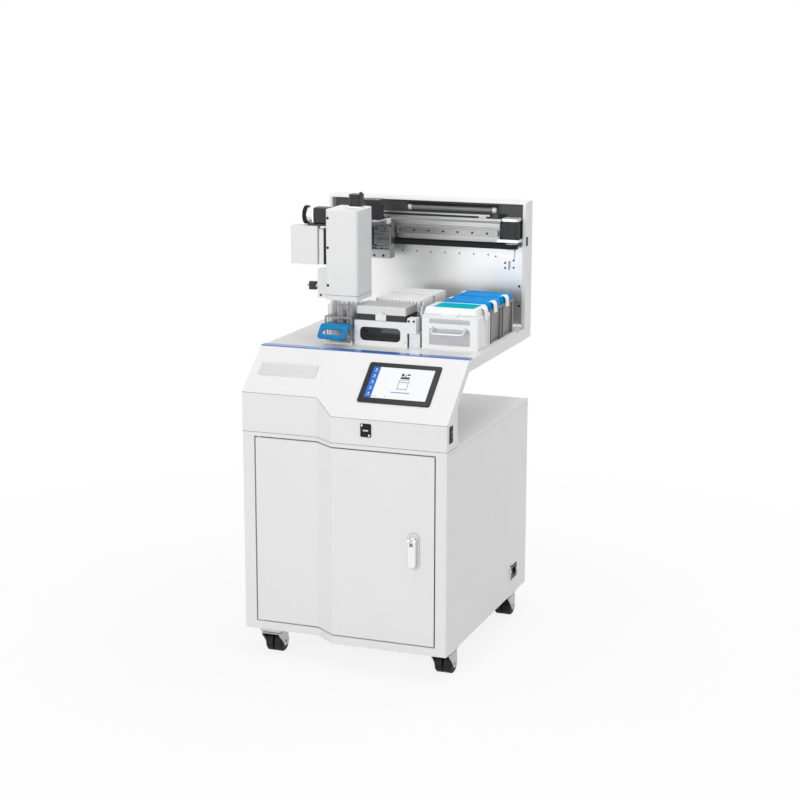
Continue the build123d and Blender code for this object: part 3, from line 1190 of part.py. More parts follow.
TUBE_BOTTOM_Z = RACK_BASE_Z + RACK_BASE_THICK
with BuildPart() as sample_tubes:
    with BuildSketch(Plane.XY.offset(TUBE_BOTTOM_Z + 5)):
        with Locations(*TUBE_CENTRES):
            Circle(TUBE_R)
    extrude(amount=TUBE_TOP_Z - TUBE_BOTTOM_Z - 5)
    for tube_x, tube_y in TUBE_CENTRES:
        with Locations((tube_x, tube_y, TUBE_BOTTOM_Z + 2.5)):
            Cone(TUBE_R - 4, TUBE_R, 5)
    with BuildSketch(Plane.XY.offset(TUBE_BOTTOM_Z + 5)):
        with Locations(*TUBE_CENTRES):
            Circle(TUBE_R - TUBE_WALL)
    extrude(amount=TUBE_TOP_Z - TUBE_BOTTOM_Z, mode=Mode.SUBTRACT)
sample_tubes.part.label = "sample_tubes"
export_step(sample_tubes.part, "parts/sample_tubes.step")

# ---------------------------------------------------------------------------
# Heater-shaker module and plate stands
# ---------------------------------------------------------------------------

WINDOW_LEFT_X = -43.0
WINDOW_RIGHT_X = 59.0
WINDOW_BOTTOM_Z = 739.0
WINDOW_TOP_Z = 772.0
WINDOW_MIDDLE = ((WINDOW_LEFT_X + WINDOW_RIGHT_X) / 2, (WINDOW_BOTTOM_Z + WINDOW_TOP_Z) / 2)
WINDOW_SIZE = (WINDOW_RIGHT_X - WINDOW_LEFT_X, WINDOW_TOP_Z - WINDOW_BOTTOM_Z)
MODULE_BACK_Y = 33.0
FACE_THICK = 3.0
COLUMN_RIGHT_X = 107.0
STAND_BACK_Y = 214.0

with BuildPart() as module_housing:
    with BuildSketch(Plane.XZ.offset(-MODULE_FRONT_Y)):
        with Locations(((MODULE_LEFT_X + MODULE_RIGHT_X) / 2, (DECK_Z + MODULE_TOP_Z) / 2)):
            RectangleRounded(MODULE_RIGHT_X - MODULE_LEFT_X, MODULE_TOP_Z - DECK_Z, 2)
        with Locations(WINDOW_MIDDLE):
            RectangleRounded(*WINDOW_SIZE, 11, mode=Mode.SUBTRACT)
    extrude(amount=-FACE_THICK)
    block(
        (MODULE_LEFT_X + 3, MODULE_FRONT_Y + FACE_THICK, DECK_Z),
        (MODULE_RIGHT_X - 3, MODULE_BACK_Y, MODULE_TOP_Z),
    )
    # Dark shelf under the slab, set back behind the face
    block(
        (MODULE_LEFT_X + 1, MODULE_FRONT_Y + 5, MODULE_TOP_Z),
        (MODULE_RIGHT_X - 6, MODULE_BACK_Y - 12, SLAB_BOTTOM_Z),
    )
    # Latch in the middle of the shelf's front
    block((-4, MODULE_FRONT_Y + 1, MODULE_TOP_Z + 1), (22, MODULE_FRONT_Y + 5, SLAB_BOTTOM_Z + 1))
    block((4, MODULE_FRONT_Y - 1, MODULE_TOP_Z + 4), (14, MODULE_FRONT_Y + 1, SLAB_BOTTOM_Z + 4))
    # Silver column beside the module, with the white drive cover and its guide post
    block((MODULE_RIGHT_X + 4, MODULE_FRONT_Y + 4, DECK_Z), (COLUMN_RIGHT_X, 30, 761))
    block((MODULE_RIGHT_X, MODULE_FRONT_Y, 762), (MODULE_RIGHT_X + 22, MODULE_FRONT_Y + 26, 798))
    block((MODULE_RIGHT_X + 8, MODULE_FRONT_Y + 6, 761), (COLUMN_RIGHT_X - 4, 24, 762))
    rod((MODULE_RIGHT_X + 17, -10, 761), (0, 0, 1), 58, 6.5)
    rod((MODULE_RIGHT_X + 17, -10, 794), (0, 0, 1), 14, 9.5)
    # Stands for the two plates behind the module, on one base
    block(
        (PLATE_LEFT_X - 4, MODULE_BACK_Y, DECK_Z),
        (PLATE_LEFT_X + PLATE_WIDTH + 4, STAND_BACK_Y, DECK_Z + 8),
    )
    for plate_front in PLATE_FRONTS.values():
        block(
            (PLATE_LEFT_X + 6, plate_front + 6, DECK_Z + 8),
            (PLATE_LEFT_X + PLATE_WIDTH - 6, plate_front + PLATE_DEPTH - 6, PLATE_BOTTOM_Z),
        )
module_housing.part.label = "module_housing"
export_step(module_housing.part, "parts/module_housing.step")

with BuildPart() as module_slab:
    block((MODULE_LEFT_X + 2, MODULE_FRONT_Y + 8, SLAB_BOTTOM_Z), (MODULE_RIGHT_X - 6, 14, SLAB_TOP_Z))
    chamfer(module_slab.edges().filter_by(Axis.Z), length=2.0)
    chamfer(module_slab.faces().sort_by(Axis.Z)[-1].edges(), length=0.8)
module_slab.part.label = "module_slab"
export_step(module_slab.part, "parts/module_slab.step")

WELLS = (12, 8)
WELL_PITCH = 9.0
SKIRT_Z = PLATE_BOTTOM_Z + 10.0
for plate_name, plate_front in PLATE_FRONTS.items():
    plate_x = PLATE_LEFT_X + PLATE_WIDTH / 2
    plate_y = plate_front + PLATE_DEPTH / 2
    with BuildPart() as deep_well_plate:
        # Skirt, a block of square wells with grooves between them, and a flat sealed rim
        with BuildSketch(Plane.XY.offset(PLATE_BOTTOM_Z)):
            with Locations((plate_x, plate_y)):
                skirt = Rectangle(PLATE_WIDTH, PLATE_DEPTH)
            chamfer(skirt.vertices().group_by(Axis.X)[0], length=5)
        extrude(amount=SKIRT_Z - PLATE_BOTTOM_Z)
        with BuildSketch(Plane.XY.offset(SKIRT_Z)):
            with Locations((plate_x, plate_y)):
                Rectangle(WELLS[0] * WELL_PITCH, WELLS[1] * WELL_PITCH)
            for row_side in (-1, 1):
                with Locations((plate_x, plate_y + row_side * WELLS[1] * WELL_PITCH / 2)):
                    with GridLocations(WELL_PITCH, 1, WELLS[0] - 1, 1):
                        Rectangle(1.6, 3.2, mode=Mode.SUBTRACT)
            for column_side in (-1, 1):
                with Locations((plate_x + column_side * WELLS[0] * WELL_PITCH / 2, plate_y)):
                    with GridLocations(1, WELL_PITCH, 1, WELLS[1] - 1):
                        Rectangle(3.2, 1.6, mode=Mode.SUBTRACT)
        extrude(amount=PLATE_TOP_Z - SKIRT_Z - 4)
        with BuildSketch(Plane.XY.offset(PLATE_TOP_Z - 4)):
            with Locations((plate_x, plate_y)):
                Rectangle(PLATE_WIDTH - 8, PLATE_DEPTH - 7)
        extrude(amount=4)
    deep_well_plate.part.label = f"deep_well_plate_{plate_name}"
    export_step(deep_well_plate.part, f"parts/deep_well_plate_{plate_name}.step")

# ---------------------------------------------------------------------------
# Tip boxes at the right of the deck
# ---------------------------------------------------------------------------

DOCK_LEDGE = 3.0
with BuildPart() as labware_dock:
    block((BOX_LEFT_X - 2, BIN_FRONT_Y, DECK_Z), (BOX_RIGHT_X + 5, STAND_BACK_Y + 4, BOX_DOCK_Z))
    block(
        (BOX_RIGHT_X + 1, BIN_FRONT_Y + 12, BOX_DOCK_Z),
        (BOX_RIGHT_X + 5, STAND_BACK_Y + 4, BOX_DOCK_Z + DOCK_LEDGE),
    )
labware_dock.part.label = "labware_dock"
export_step(labware_dock.part, "parts/labware_dock.step")

BOX_MIDDLE_X = (BOX_LEFT_X + BOX_RIGHT_X) / 2
BOX_WIDTH = BOX_RIGHT_X - BOX_LEFT_X
BOX_WALL = 6.0
CARRIER = 3.0
LID_WALL = 2.5
UPPER_WINDOW = (100.0, 11.0, 796.0)
LOWER_WINDOW = (100.0, 39.0, 759.0)
GRIP_Z = 783.0
GRIP_DROP = 13.0
GRIP_OUT = 25.0
GRIP_HALF = 40.0
GRIP_R = 2.5
with BuildPart() as tip_bin:
    block((BOX_LEFT_X, BIN_FRONT_Y, BOX_DOCK_Z), (BOX_RIGHT_X, BIN_BACK_Y, BIN_TOP_Z))
    fillet(tip_bin.edges().filter_by(Axis.Z), radius=3.0)
    for window_width, window_height, window_z in (UPPER_WINDOW, LOWER_WINDOW):
        with BuildSketch(Plane.XZ.offset(-BIN_FRONT_Y + 1)):
            with Locations((BOX_MIDDLE_X, window_z)):
                RectangleRounded(window_width, window_height, 3)
        extrude(amount=-4, mode=Mode.SUBTRACT)
    # Recessed side panels behind the front frame
    for panel_x in (BOX_LEFT_X, BOX_RIGHT_X):
        with Locations((panel_x, BIN_FRONT_Y + 62, (BOX_DOCK_Z + BIN_TOP_Z) / 2)):
            Box(5, 46, BIN_TOP_Z - BOX_DOCK_Z - 16, mode=Mode.SUBTRACT)
    block(
        (BOX_LEFT_X + BOX_WALL, BIN_FRONT_Y + BOX_WALL, BOX_DOCK_Z - 1),
        (BOX_RIGHT_X - BOX_WALL, BIN_BACK_Y - BOX_WALL, BIN_TOP_Z - CARRIER),
        mode=Mode.SUBTRACT,
    )
    # Round-bar pull grip, bent out and down from the crossbar
    grip_start = Vector(BOX_MIDDLE_X - GRIP_HALF, BIN_FRONT_Y + 3, GRIP_Z)
    grip_bend = Vector(BOX_MIDDLE_X - GRIP_HALF, BIN_FRONT_Y - GRIP_OUT, GRIP_Z - GRIP_DROP)
    grip_points = [
        grip_start,
        grip_bend,
        Vector(2 * BOX_MIDDLE_X - grip_bend.X, grip_bend.Y, grip_bend.Z),
        Vector(2 * BOX_MIDDLE_X - grip_start.X, grip_start.Y, grip_start.Z),
    ]
    with BuildLine() as grip_path:
        FilletPolyline(*grip_points, radius=7)
    with BuildSketch(Plane(origin=grip_start, z_dir=(grip_bend - grip_start).normalized())):
        Circle(GRIP_R)
    sweep(path=grip_path.wires()[0])
tip_bin.part.label = "tip_bin"
export_step(tip_bin.part, "parts/tip_bin.step")


def box_lid(back_y, front_y, bottom_z, top_z, slope_in):
    """Lid with sloped shoulders round a flat top."""
    with BuildPart() as lid:
        with BuildSketch(Plane.XY.offset(bottom_z)):
            with Locations((BOX_MIDDLE_X, (front_y + back_y) / 2)):
                RectangleRounded(BOX_WIDTH, back_y - front_y, 4)
        extrude(amount=(top_z - bottom_z) * 0.5)
        with BuildSketch(Plane.XY.offset(bottom_z + (top_z - bottom_z) * 0.5)):
            with Locations((BOX_MIDDLE_X, (front_y + back_y) / 2)):
                RectangleRounded(BOX_WIDTH, back_y - front_y, 4)
        with BuildSketch(Plane.XY.offset(top_z)):
            with Locations((BOX_MIDDLE_X, (front_y + back_y) / 2)):
                RectangleRounded(BOX_WIDTH - 2 * slope_in, back_y - front_y - 2 * slope_in, 4)
        loft()
        block(
            (BOX_LEFT_X + slope_in + LID_WALL, front_y + slope_in + LID_WALL, bottom_z - 1),
            (BOX_RIGHT_X - slope_in - LID_WALL, back_y - slope_in - LID_WALL, top_z - 2 * LID_WALL),
            mode=Mode.SUBTRACT,
        )
    return lid.part


BIN_LID_TOP_Z = 827.0
PAD = (118.0, 62.0)
BIN_MIDDLE_Y = (BIN_FRONT_Y + BIN_BACK_Y) / 2
with BuildPart() as bin_lid:
    add(box_lid(BIN_BACK_Y, BIN_FRONT_Y, BIN_TOP_Z, BIN_LID_TOP_Z, 5.0))
    # Tab in the middle of the front, tapering downwards over the frame
    with BuildSketch(Plane.XZ.offset(-BIN_FRONT_Y + CLEAR)):
        Polygon(
            (BOX_MIDDLE_X - 24, BIN_TOP_Z + 9),
            (BOX_MIDDLE_X + 24, BIN_TOP_Z + 9),
            (BOX_MIDDLE_X + 14, BIN_TOP_Z - 4),
            (BOX_MIDDLE_X - 14, BIN_TOP_Z - 4),
            align=None,
        )
    extrude(amount=3.0)
    block(
        (BOX_MIDDLE_X - 24, BIN_FRONT_Y - CLEAR - 1, BIN_TOP_Z + 2),
        (BOX_MIDDLE_X + 24, BIN_FRONT_Y + 2, BIN_TOP_Z + 9),
    )
    with BuildSketch(Plane.XY.offset(BIN_LID_TOP_Z + 1)):
        with Locations((BOX_MIDDLE_X, BIN_MIDDLE_Y + 4)):
            RectangleRounded(*PAD, 3)
    extrude(amount=-4, mode=Mode.SUBTRACT)
bin_lid.part.label = "bin_lid"
export_step(bin_lid.part, "parts/bin_lid.step")

for box_name, box_front in TIP_BOX_FRONTS.items():
    box_back = box_front + TIP_BOX_DEPTH
    with BuildPart() as tip_box:
        # Tapered moulded box with upright ribs at its corners and middle
        with BuildSketch(Plane.XY.offset(BOX_DOCK_Z)):
            with Locations((BOX_MIDDLE_X, (box_front + box_back) / 2)):
                RectangleRounded(BOX_WIDTH - 12, TIP_BOX_DEPTH - 10, 4)
        with BuildSketch(Plane.XY.offset(TIP_BOX_TOP_Z)):
            with Locations((BOX_MIDDLE_X, (box_front + box_back) / 2)):
                RectangleRounded(BOX_WIDTH - 6, TIP_BOX_DEPTH - 4, 4)
        loft()
        rib_height = TIP_BOX_TOP_Z - BOX_DOCK_Z
        for rib_x in (BOX_LEFT_X + 4, BOX_RIGHT_X - 4):
            with Locations((rib_x, (box_front + box_back) / 2, BOX_DOCK_Z + rib_height / 2)):
                with GridLocations(1, TIP_BOX_DEPTH - 16, 1, 2):
                    Box(7, 8, rib_height)
        block((BOX_LEFT_X, box_front, TIP_BOX_TOP_Z - 5), (BOX_RIGHT_X, box_back, TIP_BOX_TOP_Z))
        block(
            (BOX_LEFT_X + 9, box_front + 8, BOX_DOCK_Z - 1),
            (BOX_RIGHT_X - 9, box_back - 8, TIP_BOX_TOP_Z - CARRIER),
            mode=Mode.SUBTRACT,
        )
    tip_box.part.label = f"tip_box_{box_name}"
    export_step(tip_box.part, f"parts/tip_box_{box_name}.step")

    with BuildPart() as tip_box_lid:
        add(box_lid(box_back, box_front, TIP_BOX_TOP_Z, LID_TOP_Z, 4.0))
        # Finger notch in the middle of the top
        with BuildSketch(Plane.XY.offset(LID_TOP_Z + 1)):
            with Locations((BOX_MIDDLE_X, box_front + 20)):
                SlotOverall(26, 10)
        extrude(amount=-4, mode=Mode.SUBTRACT)
        # Spring clip on the right side
        block(
            (BOX_RIGHT_X - 1, box_front + 30, TIP_BOX_TOP_Z + 1),
            (BOX_RIGHT_X + 3, box_front + 46, TIP_BOX_TOP_Z + 8),
        )
    tip_box_lid.part.label = f"tip_box_lid_{box_name}"
    export_step(tip_box_lid.part, f"parts/tip_box_lid_{box_name}.step")
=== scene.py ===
import math

import bmesh
import bpy
from mathutils import Matrix, Vector


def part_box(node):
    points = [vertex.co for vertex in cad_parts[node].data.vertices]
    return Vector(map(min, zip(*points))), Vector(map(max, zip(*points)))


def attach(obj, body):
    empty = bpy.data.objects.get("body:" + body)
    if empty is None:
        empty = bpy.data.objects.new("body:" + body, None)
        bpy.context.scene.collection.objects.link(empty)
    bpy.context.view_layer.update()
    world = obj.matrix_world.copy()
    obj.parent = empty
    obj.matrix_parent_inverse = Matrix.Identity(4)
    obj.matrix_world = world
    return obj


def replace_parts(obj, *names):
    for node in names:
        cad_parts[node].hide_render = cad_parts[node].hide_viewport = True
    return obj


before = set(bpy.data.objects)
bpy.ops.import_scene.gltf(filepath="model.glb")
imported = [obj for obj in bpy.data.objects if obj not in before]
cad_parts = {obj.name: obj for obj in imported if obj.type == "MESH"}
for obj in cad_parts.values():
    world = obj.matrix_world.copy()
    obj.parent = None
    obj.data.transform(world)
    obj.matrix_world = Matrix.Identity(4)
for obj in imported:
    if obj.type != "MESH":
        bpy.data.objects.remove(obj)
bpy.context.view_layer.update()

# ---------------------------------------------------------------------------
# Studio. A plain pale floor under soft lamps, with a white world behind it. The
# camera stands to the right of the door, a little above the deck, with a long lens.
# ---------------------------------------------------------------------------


class Wire:
    """The output of a shader node. Arithmetic on it adds Math nodes to its tree."""

    def __init__(self, tree, socket):
        self.tree = tree
        self.socket = socket

    def maths(self, operation, *values, clamp=False):
        node = self.tree.nodes.new("ShaderNodeMath")
        node.operation = operation
        node.use_clamp = clamp
        for entry, value in zip(node.inputs, values):
            plug(self.tree, entry, value)
        return Wire(self.tree, node.outputs[0])

    def __add__(self, other):
        return self.maths("ADD", self, other)

    __radd__ = __add__

    def __sub__(self, other):
        return self.maths("SUBTRACT", self, other)

    def __rsub__(self, other):
        return self.maths("SUBTRACT", other, self)

    def __mul__(self, other):
        return self.maths("MULTIPLY", self, other)

    __rmul__ = __mul__

    def __truediv__(self, other):
        return self.maths("DIVIDE", self, other)

    def __gt__(self, other):
        return self.maths("GREATER_THAN", self, other)

    def __lt__(self, other):
        return self.maths("LESS_THAN", self, other)

    def clamp(self):
        return self.maths("ADD", self, 0.0, clamp=True)


def plug(tree, entry, value):
    """Links a wire to a socket, or writes a plain value on it."""
    if isinstance(value, Wire):
        tree.links.new(value.socket, entry)
    else:
        entry.default_value = value


class Shading:
    """A node tree, with one method that adds a node of any type to it."""

    def __init__(self, owner):
        owner.use_nodes = True
        self.tree = owner.node_tree

    def node(self, kind, settings=None, inputs=None, output=0):
        made = self.tree.nodes.new(kind)
        for name, value in (settings or {}).items():
            setattr(made, name, value)
        for name, value in (inputs or {}).items():
            plug(self.tree, made.inputs[name], value)
        return Wire(self.tree, made.outputs[output])

    def seen_or_mirrored(self):
        """1 on rays from the camera, from gloss and through glass, 0 on plain light."""
        rays = [
            self.node("ShaderNodeLightPath", output=name)
            for name in ("Is Camera Ray", "Is Glossy Ray", "Is Transmission Ray")
        ]
        return (rays[0] + rays[1] + rays[2]).clamp()


CAMERA_TARGET = Vector((0.0, 0.007, 0.520))
CAMERA_AZIMUTH = math.radians(20.85)
CAMERA_ELEVATION = math.radians(13.07)
CAMERA_DISTANCE = 4.6848
LENS_MM = 87.0
SENSOR_MM = 36.0
FRAME_SHIFT = (0.0149, 0.0310)

towards_camera = Vector((
    math.sin(CAMERA_AZIMUTH) * math.cos(CAMERA_ELEVATION),
    -math.cos(CAMERA_AZIMUTH) * math.cos(CAMERA_ELEVATION),
    math.sin(CAMERA_ELEVATION),
))
camera_data = bpy.data.cameras.new("studio_camera")
camera_data.sensor_width = SENSOR_MM
camera_data.lens = LENS_MM
camera_data.shift_x, camera_data.shift_y = FRAME_SHIFT
camera_data.clip_end = 200.0
camera = bpy.data.objects.new("studio_camera", camera_data)
camera.location = CAMERA_TARGET + towards_camera * CAMERA_DISTANCE
camera.rotation_euler = towards_camera.to_track_quat("Z", "Y").to_euler()
bpy.context.collection.objects.link(camera)
bpy.context.scene.camera = camera
bpy.context.scene.view_settings.view_transform = "Standard"

AMBIENT = 0.57
world = bpy.data.worlds.new("white_studio")
bpy.context.scene.world = world
sky = Shading(world)
plug(
    sky.tree,
    sky.tree.nodes["Background"].inputs["Strength"],
    sky.seen_or_mirrored() * (1.0 - AMBIENT) + AMBIENT,
)
sky.tree.nodes["Background"].inputs["Color"].default_value = (1.0, 1.0, 1.0, 1.0)

# name: (place, size in metres, power in watts)
SOFT_LAMPS = {
    "key_lamp": ((-0.9, -4.3, 1.7), 2.4, 61.0),
    "top_lamp": ((0.2, -0.1, 3.6), 2.0, 31.0),
    "side_lamp": ((3.2, -1.0, 1.9), 1.8, 1.5),
    "back_lamp": ((1.2, 3.0, 2.6), 2.0, 22.0),
}
for lamp_name, (place, size, power) in SOFT_LAMPS.items():
    lamp_data = bpy.data.lights.new(lamp_name, "AREA")
    lamp_data.size = size
    lamp_data.energy = power
    lamp = bpy.data.objects.new(lamp_name, lamp_data)
    lamp.location = place
    aim = Vector(place) - Vector((0.0, 0.0, 0.55))
    lamp.rotation_euler = aim.to_track_quat("Z", "Y").to_euler()
    bpy.context.collection.objects.link(lamp)

FLOOR_HALF = 60.0
SHADOW_REACH = 1.4
floor_mesh = bpy.data.meshes.new("studio_floor")
floor_mesh.from_pydata(
    [(x * FLOOR_HALF, y * FLOOR_HALF, 0.0) for x, y in ((-1, -1), (1, -1), (1, 1), (-1, 1))],
    [],
    [(0, 1, 2, 3)],
)
studio_floor = bpy.data.objects.new("studio_floor", floor_mesh)
bpy.context.collection.objects.link(studio_floor)
floor_paint = bpy.data.materials.new("pale_floor")
floor_mesh.materials.append(floor_paint)
ground = Shading(floor_paint)
ground.tree.nodes.remove(ground.tree.nodes["Principled BSDF"])
spot = ground.node("ShaderNodeTexCoord", output="Object")
from_middle = ground.node(
    "ShaderNodeVectorMath", {"operation": "LENGTH"}, {0: spot}, output="Value"
)
far_away = ((from_middle - 0.5) / SHADOW_REACH).clamp()
shaded = ground.node("ShaderNodeBsdfDiffuse", inputs={"Color": (0.82, 0.82, 0.82, 1.0)})
glow = ground.node("ShaderNodeEmission", inputs={"Color": (1.0, 1.0, 1.0, 1.0), "Strength": 1.0})
pale = ground.node("ShaderNodeMixShader", inputs={0: far_away * 0.15 + 0.85, 1: shaded, 2: glow})
look = ground.node("ShaderNodeMixShader", inputs={0: ground.seen_or_mirrored(), 1: shaded, 2: pale})
plug(ground.tree, ground.tree.nodes["Material Output"].inputs["Surface"], look)

# ---------------------------------------------------------------------------
# Cabinet. Folded sheet steel, powder-coated white with a fine orange peel: the
# body, its top tray and the bent door. The hinge pins are part of body and tray.
# ---------------------------------------------------------------------------

MM = 0.001


class Finish(Shading):
    """A material made round one Principled shader."""

    def __init__(self, name, roughness, metallic=0.0, shine=0.5, coat=0.0):
        self.material = bpy.data.materials.new(name)
        super().__init__(self.material)
        self.shader = self.tree.nodes["Principled BSDF"]
        self.set("Roughness", roughness)
        self.set("Metallic", metallic)
        self.set("Specular IOR Level", shine)
        self.set("Coat Weight", coat)
        self.set("Coat Roughness", 0.12)
        self.spot = self.node("ShaderNodeTexCoord", output="Object")

    def set(self, socket, value):
        plug(self.tree, self.shader.inputs[socket], value)

    def axis(self, name):
        """The place along X, Y or Z, in metres."""
        return self.node("ShaderNodeSeparateXYZ", inputs={0: self.spot}, output=name)

    def grain(self, scale, detail=2.0, stretch=(1.0, 1.0, 1.0)):
        """Noise from 0 to 1 with about this many grains to the metre."""
        drawn = self.node(
            "ShaderNodeVectorMath", {"operation": "MULTIPLY"}, {0: self.spot, 1: stretch}
        )
        return self.node(
            "ShaderNodeTexNoise", inputs={"Vector": drawn, "Scale": scale, "Detail": detail}
        )

    def blend(self, share, first, second):
        """Colour between two colours, by a share from 0 to 1."""
        return self.node(
            "ShaderNodeMix",
            {"data_type": "RGBA"},
            {0: share, 6: colour4(first), 7: colour4(second)},
            output=2,
        )

    def mottle(self, grain, pale, deep, swing, least):
        """One grain for both the colour, between two shades, and the roughness."""
        self.set("Base Color", self.blend(grain, pale, deep))
        self.set("Roughness", grain * swing + least)

    def bump(self, height, depth):
        """Relief of this depth in metres."""
        relief = self.node(
            "ShaderNodeBump", inputs={"Height": height, "Distance": depth, "Strength": 1.0}
        )
        self.set("Normal", relief)

    def cover(self, *nodes):
        """Puts the finish on CAD nodes."""
        for name in nodes:
            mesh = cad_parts[name].data
            mesh.materials.clear()
            mesh.materials.append(self.material)


def colour4(colour):
    """Adds the opaque alpha that a colour socket expects."""
    if isinstance(colour, Wire):
        return colour
    return (*colour, 1.0)


def greys(pale, deep):
    """Two neutral shades."""
    return (pale, pale, pale), (deep, deep, deep)


def powder_coat(name, pale, deep, shine=0.4):
    """Baked powder coat: two close shades in soft clouds, and a fine peel."""
    coat = Finish(name, 0.4, shine=shine)
    clouds = coat.grain(7.0, 4.0)
    coat.mottle(clouds, pale, deep, 0.10, 0.33)
    coat.set("Coat Weight", clouds * 0.06 + 0.04)
    coat.bump(coat.grain(850.0, 2.0), 0.035 * MM)
    return coat


white_coat = powder_coat("white_powder_coat", *greys(0.83, 0.80))
white_coat.cover("cabinet_body", "cabinet_top", "door_panel", "cabinet_rear_cover")


def new_piece(name, shape, finish, body):
    """Turns a bmesh into a piece that rides on a body and shares its CAD slot."""
    mesh = bpy.data.meshes.new(name)
    bmesh.ops.recalc_face_normals(shape, faces=shape.faces)
    shape.to_mesh(mesh)
    shape.free()
    mesh.materials.append(finish.material)
    mesh.polygons.foreach_set("use_smooth", [True] * len(mesh.polygons))
    mesh.set_sharp_from_angle(angle=math.radians(32))
    made = bpy.data.objects.new(name, mesh)
    bpy.context.collection.objects.link(made)
    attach(made, body)
    return made


def facing(direction, place):
    """Matrix of a place in millimetres whose own Z points in the direction."""
    turn = Vector(direction).normalized().to_track_quat("Z", "Y").to_matrix().to_4x4()
    return Matrix.Translation(Vector(place) * MM) @ turn


def lathe(shape, matrix, profile, turns=20):
    """Closed turned solid from a profile of (radius, height) in millimetres."""
    rings = []
    for radius, height in profile:
        ring = []
        for step in range(turns):
            angle = math.tau * step / turns
            spot = Vector((radius * math.cos(angle), radius * math.sin(angle), height)) * MM
            ring.append(shape.verts.new(matrix @ spot))
        rings.append(ring)
    for lower, upper in zip(rings, rings[1:]):
        for step in range(turns):
            after = (step + 1) % turns
            shape.faces.new((lower[step], lower[after], upper[after], upper[step]))
    shape.faces.new(rings[0][::-1])
    shape.faces.new(rings[-1])


def button_screw(shape, matrix, radius):
    """Domed screw head with a six-sided socket."""
    dome = [(1.0, 0.25), (0.82, 0.5), (0.55, 0.6)]
    lathe(shape, matrix, [(radius, -0.2)] + [(out * radius, up * radius) for out, up in dome])
    socket = []
    floor = []
    for step in range(6):
        angle = math.tau * step / 6
        across = Vector((math.cos(angle), math.sin(angle), 0.0)) * 0.42 * radius
        socket.append(shape.verts.new(matrix @ ((across + Vector((0, 0, 0.63 * radius))) * MM)))
        floor.append(
            shape.verts.new(matrix @ ((across * 0.8 + Vector((0, 0, 0.61 * radius))) * MM))
        )
    for step in range(6):
        after = (step + 1) % 6
        shape.faces.new((socket[step], socket[after], floor[after], floor[step]))
    shape.faces.new(floor)


def screws(name, places, direction, radius, finish, body):
    """One piece of several screws that face the same way; places in millimetres."""
    shape = bmesh.new()
    for place in places:
        button_screw(shape, facing(direction, place), radius)
    return new_piece(name, shape, finish, body)


zinc = Finish("zinc_plated_screw", 0.28, 1.0)
zinc.set("Base Color", zinc.blend(zinc.grain(300.0), (0.62, 0.62, 0.64), (0.48, 0.48, 0.50)))
zinc.set("Roughness", zinc.grain(500.0) * 0.15 + 0.22)
black_oxide = Finish("black_oxide_screw", 0.45, 0.2, shine=0.15)
black_oxide.set(
    "Base Color",
    black_oxide.blend(black_oxide.grain(400.0), (0.012, 0.012, 0.013), (0.03, 0.03, 0.032)),
)
black_oxide.set("Roughness", black_oxide.grain(600.0) * 0.2 + 0.3)


def corners_of(node, inset=0.0):
    """Lowest and highest corner of a node in millimetres, moved in by an inset."""
    low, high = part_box(node)
    shift = Vector((inset, inset, inset))
    return low / MM + shift, high / MM - shift


COVER_SCREW_INSET = 6.0
cover_low, cover_high = corners_of("cabinet_rear_cover", COVER_SCREW_INSET)
cover_middle_z = (cover_low.z + cover_high.z) / 2
screws(
    "rear_cover_screws",
    [
        (x, cover_high.y + COVER_SCREW_INSET, z)
        for x in (cover_low.x, 0.0, cover_high.x)
        for z in (cover_low.z, cover_middle_z, cover_high.z)
        if x or z != cover_middle_z
    ],
    (0, 1, 0),
    2.6,
    zinc,
    "stand",
)


def bar_between(shape, start, end, radius, sides=6):
    """Straight thin bar between two places in metres, its radius in millimetres."""
    along = end - start
    turn = along.normalized().to_track_quat("Z", "Y").to_matrix().to_4x4()
    reach = along.length / MM
    lathe(shape, Matrix.Translation(start) @ turn, [(radius, 0.0), (radius, reach)], sides)


def edge_bead(name, node, belongs, radius, finish, body):
    """Thin bead along the edges of a node that pass a test on their faces' normals."""
    source = bmesh.new()
    source.from_mesh(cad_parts[node].data)
    bmesh.ops.remove_doubles(source, verts=source.verts, dist=1e-5)
    source.normal_update()
    bead = bmesh.new()
    for edge in source.edges:
        if len(edge.link_faces) == 2 and belongs(edge, *(face.normal for face in edge.link_faces)):
            bar_between(bead, edge.verts[0].co, edge.verts[1].co, radius)
    source.free()
    return new_piece(name, bead, finish, body)


# Black foam seal in the gap at the door's lock side
SEAL_X = 232.3
SEAL_RADIUS = 1.2
opening_low, opening_high = corners_of("door_panel")
seal_rubber = powder_coat("door_seal_rubber", *greys(0.03, 0.05), 0.1)
seal = bmesh.new()
seal_foot = Vector((SEAL_X, opening_low.y + 0.9, opening_low.z)) * MM
bar_between(
    seal, seal_foot, Vector((seal_foot.x, seal_foot.y, opening_high.z * MM)), SEAL_RADIUS, 10
)
new_piece("door_seal", seal, seal_rubber, "stand")

# ---------------------------------------------------------------------------
# Door lock. Die-cast plate and lift lever in satin grey, screwed to the door from
# behind; the spindle and its locking tongue are ground steel.
# ---------------------------------------------------------------------------


def cast_metal(name, pale, deep, roughness):
    """Satin die-cast metal with a slight unevenness."""
    cast = Finish(name, roughness, 0.3)
    patches = cast.grain(45.0, 3.0)
    cast.mottle(patches, pale, deep, 0.12, roughness - 0.06)
    cast.bump(cast.grain(1400.0), 0.015 * MM)
    return cast


lever_grey = cast_metal("satin_lever_grey", *greys(0.92, 0.86), 0.3)
lever_grey.cover("handle_lever")
plate_grey = cast_metal("lock_plate_grey", (0.72, 0.72, 0.73), (0.64, 0.64, 0.65), 0.34)
plate_grey.cover("door_handle_plate")


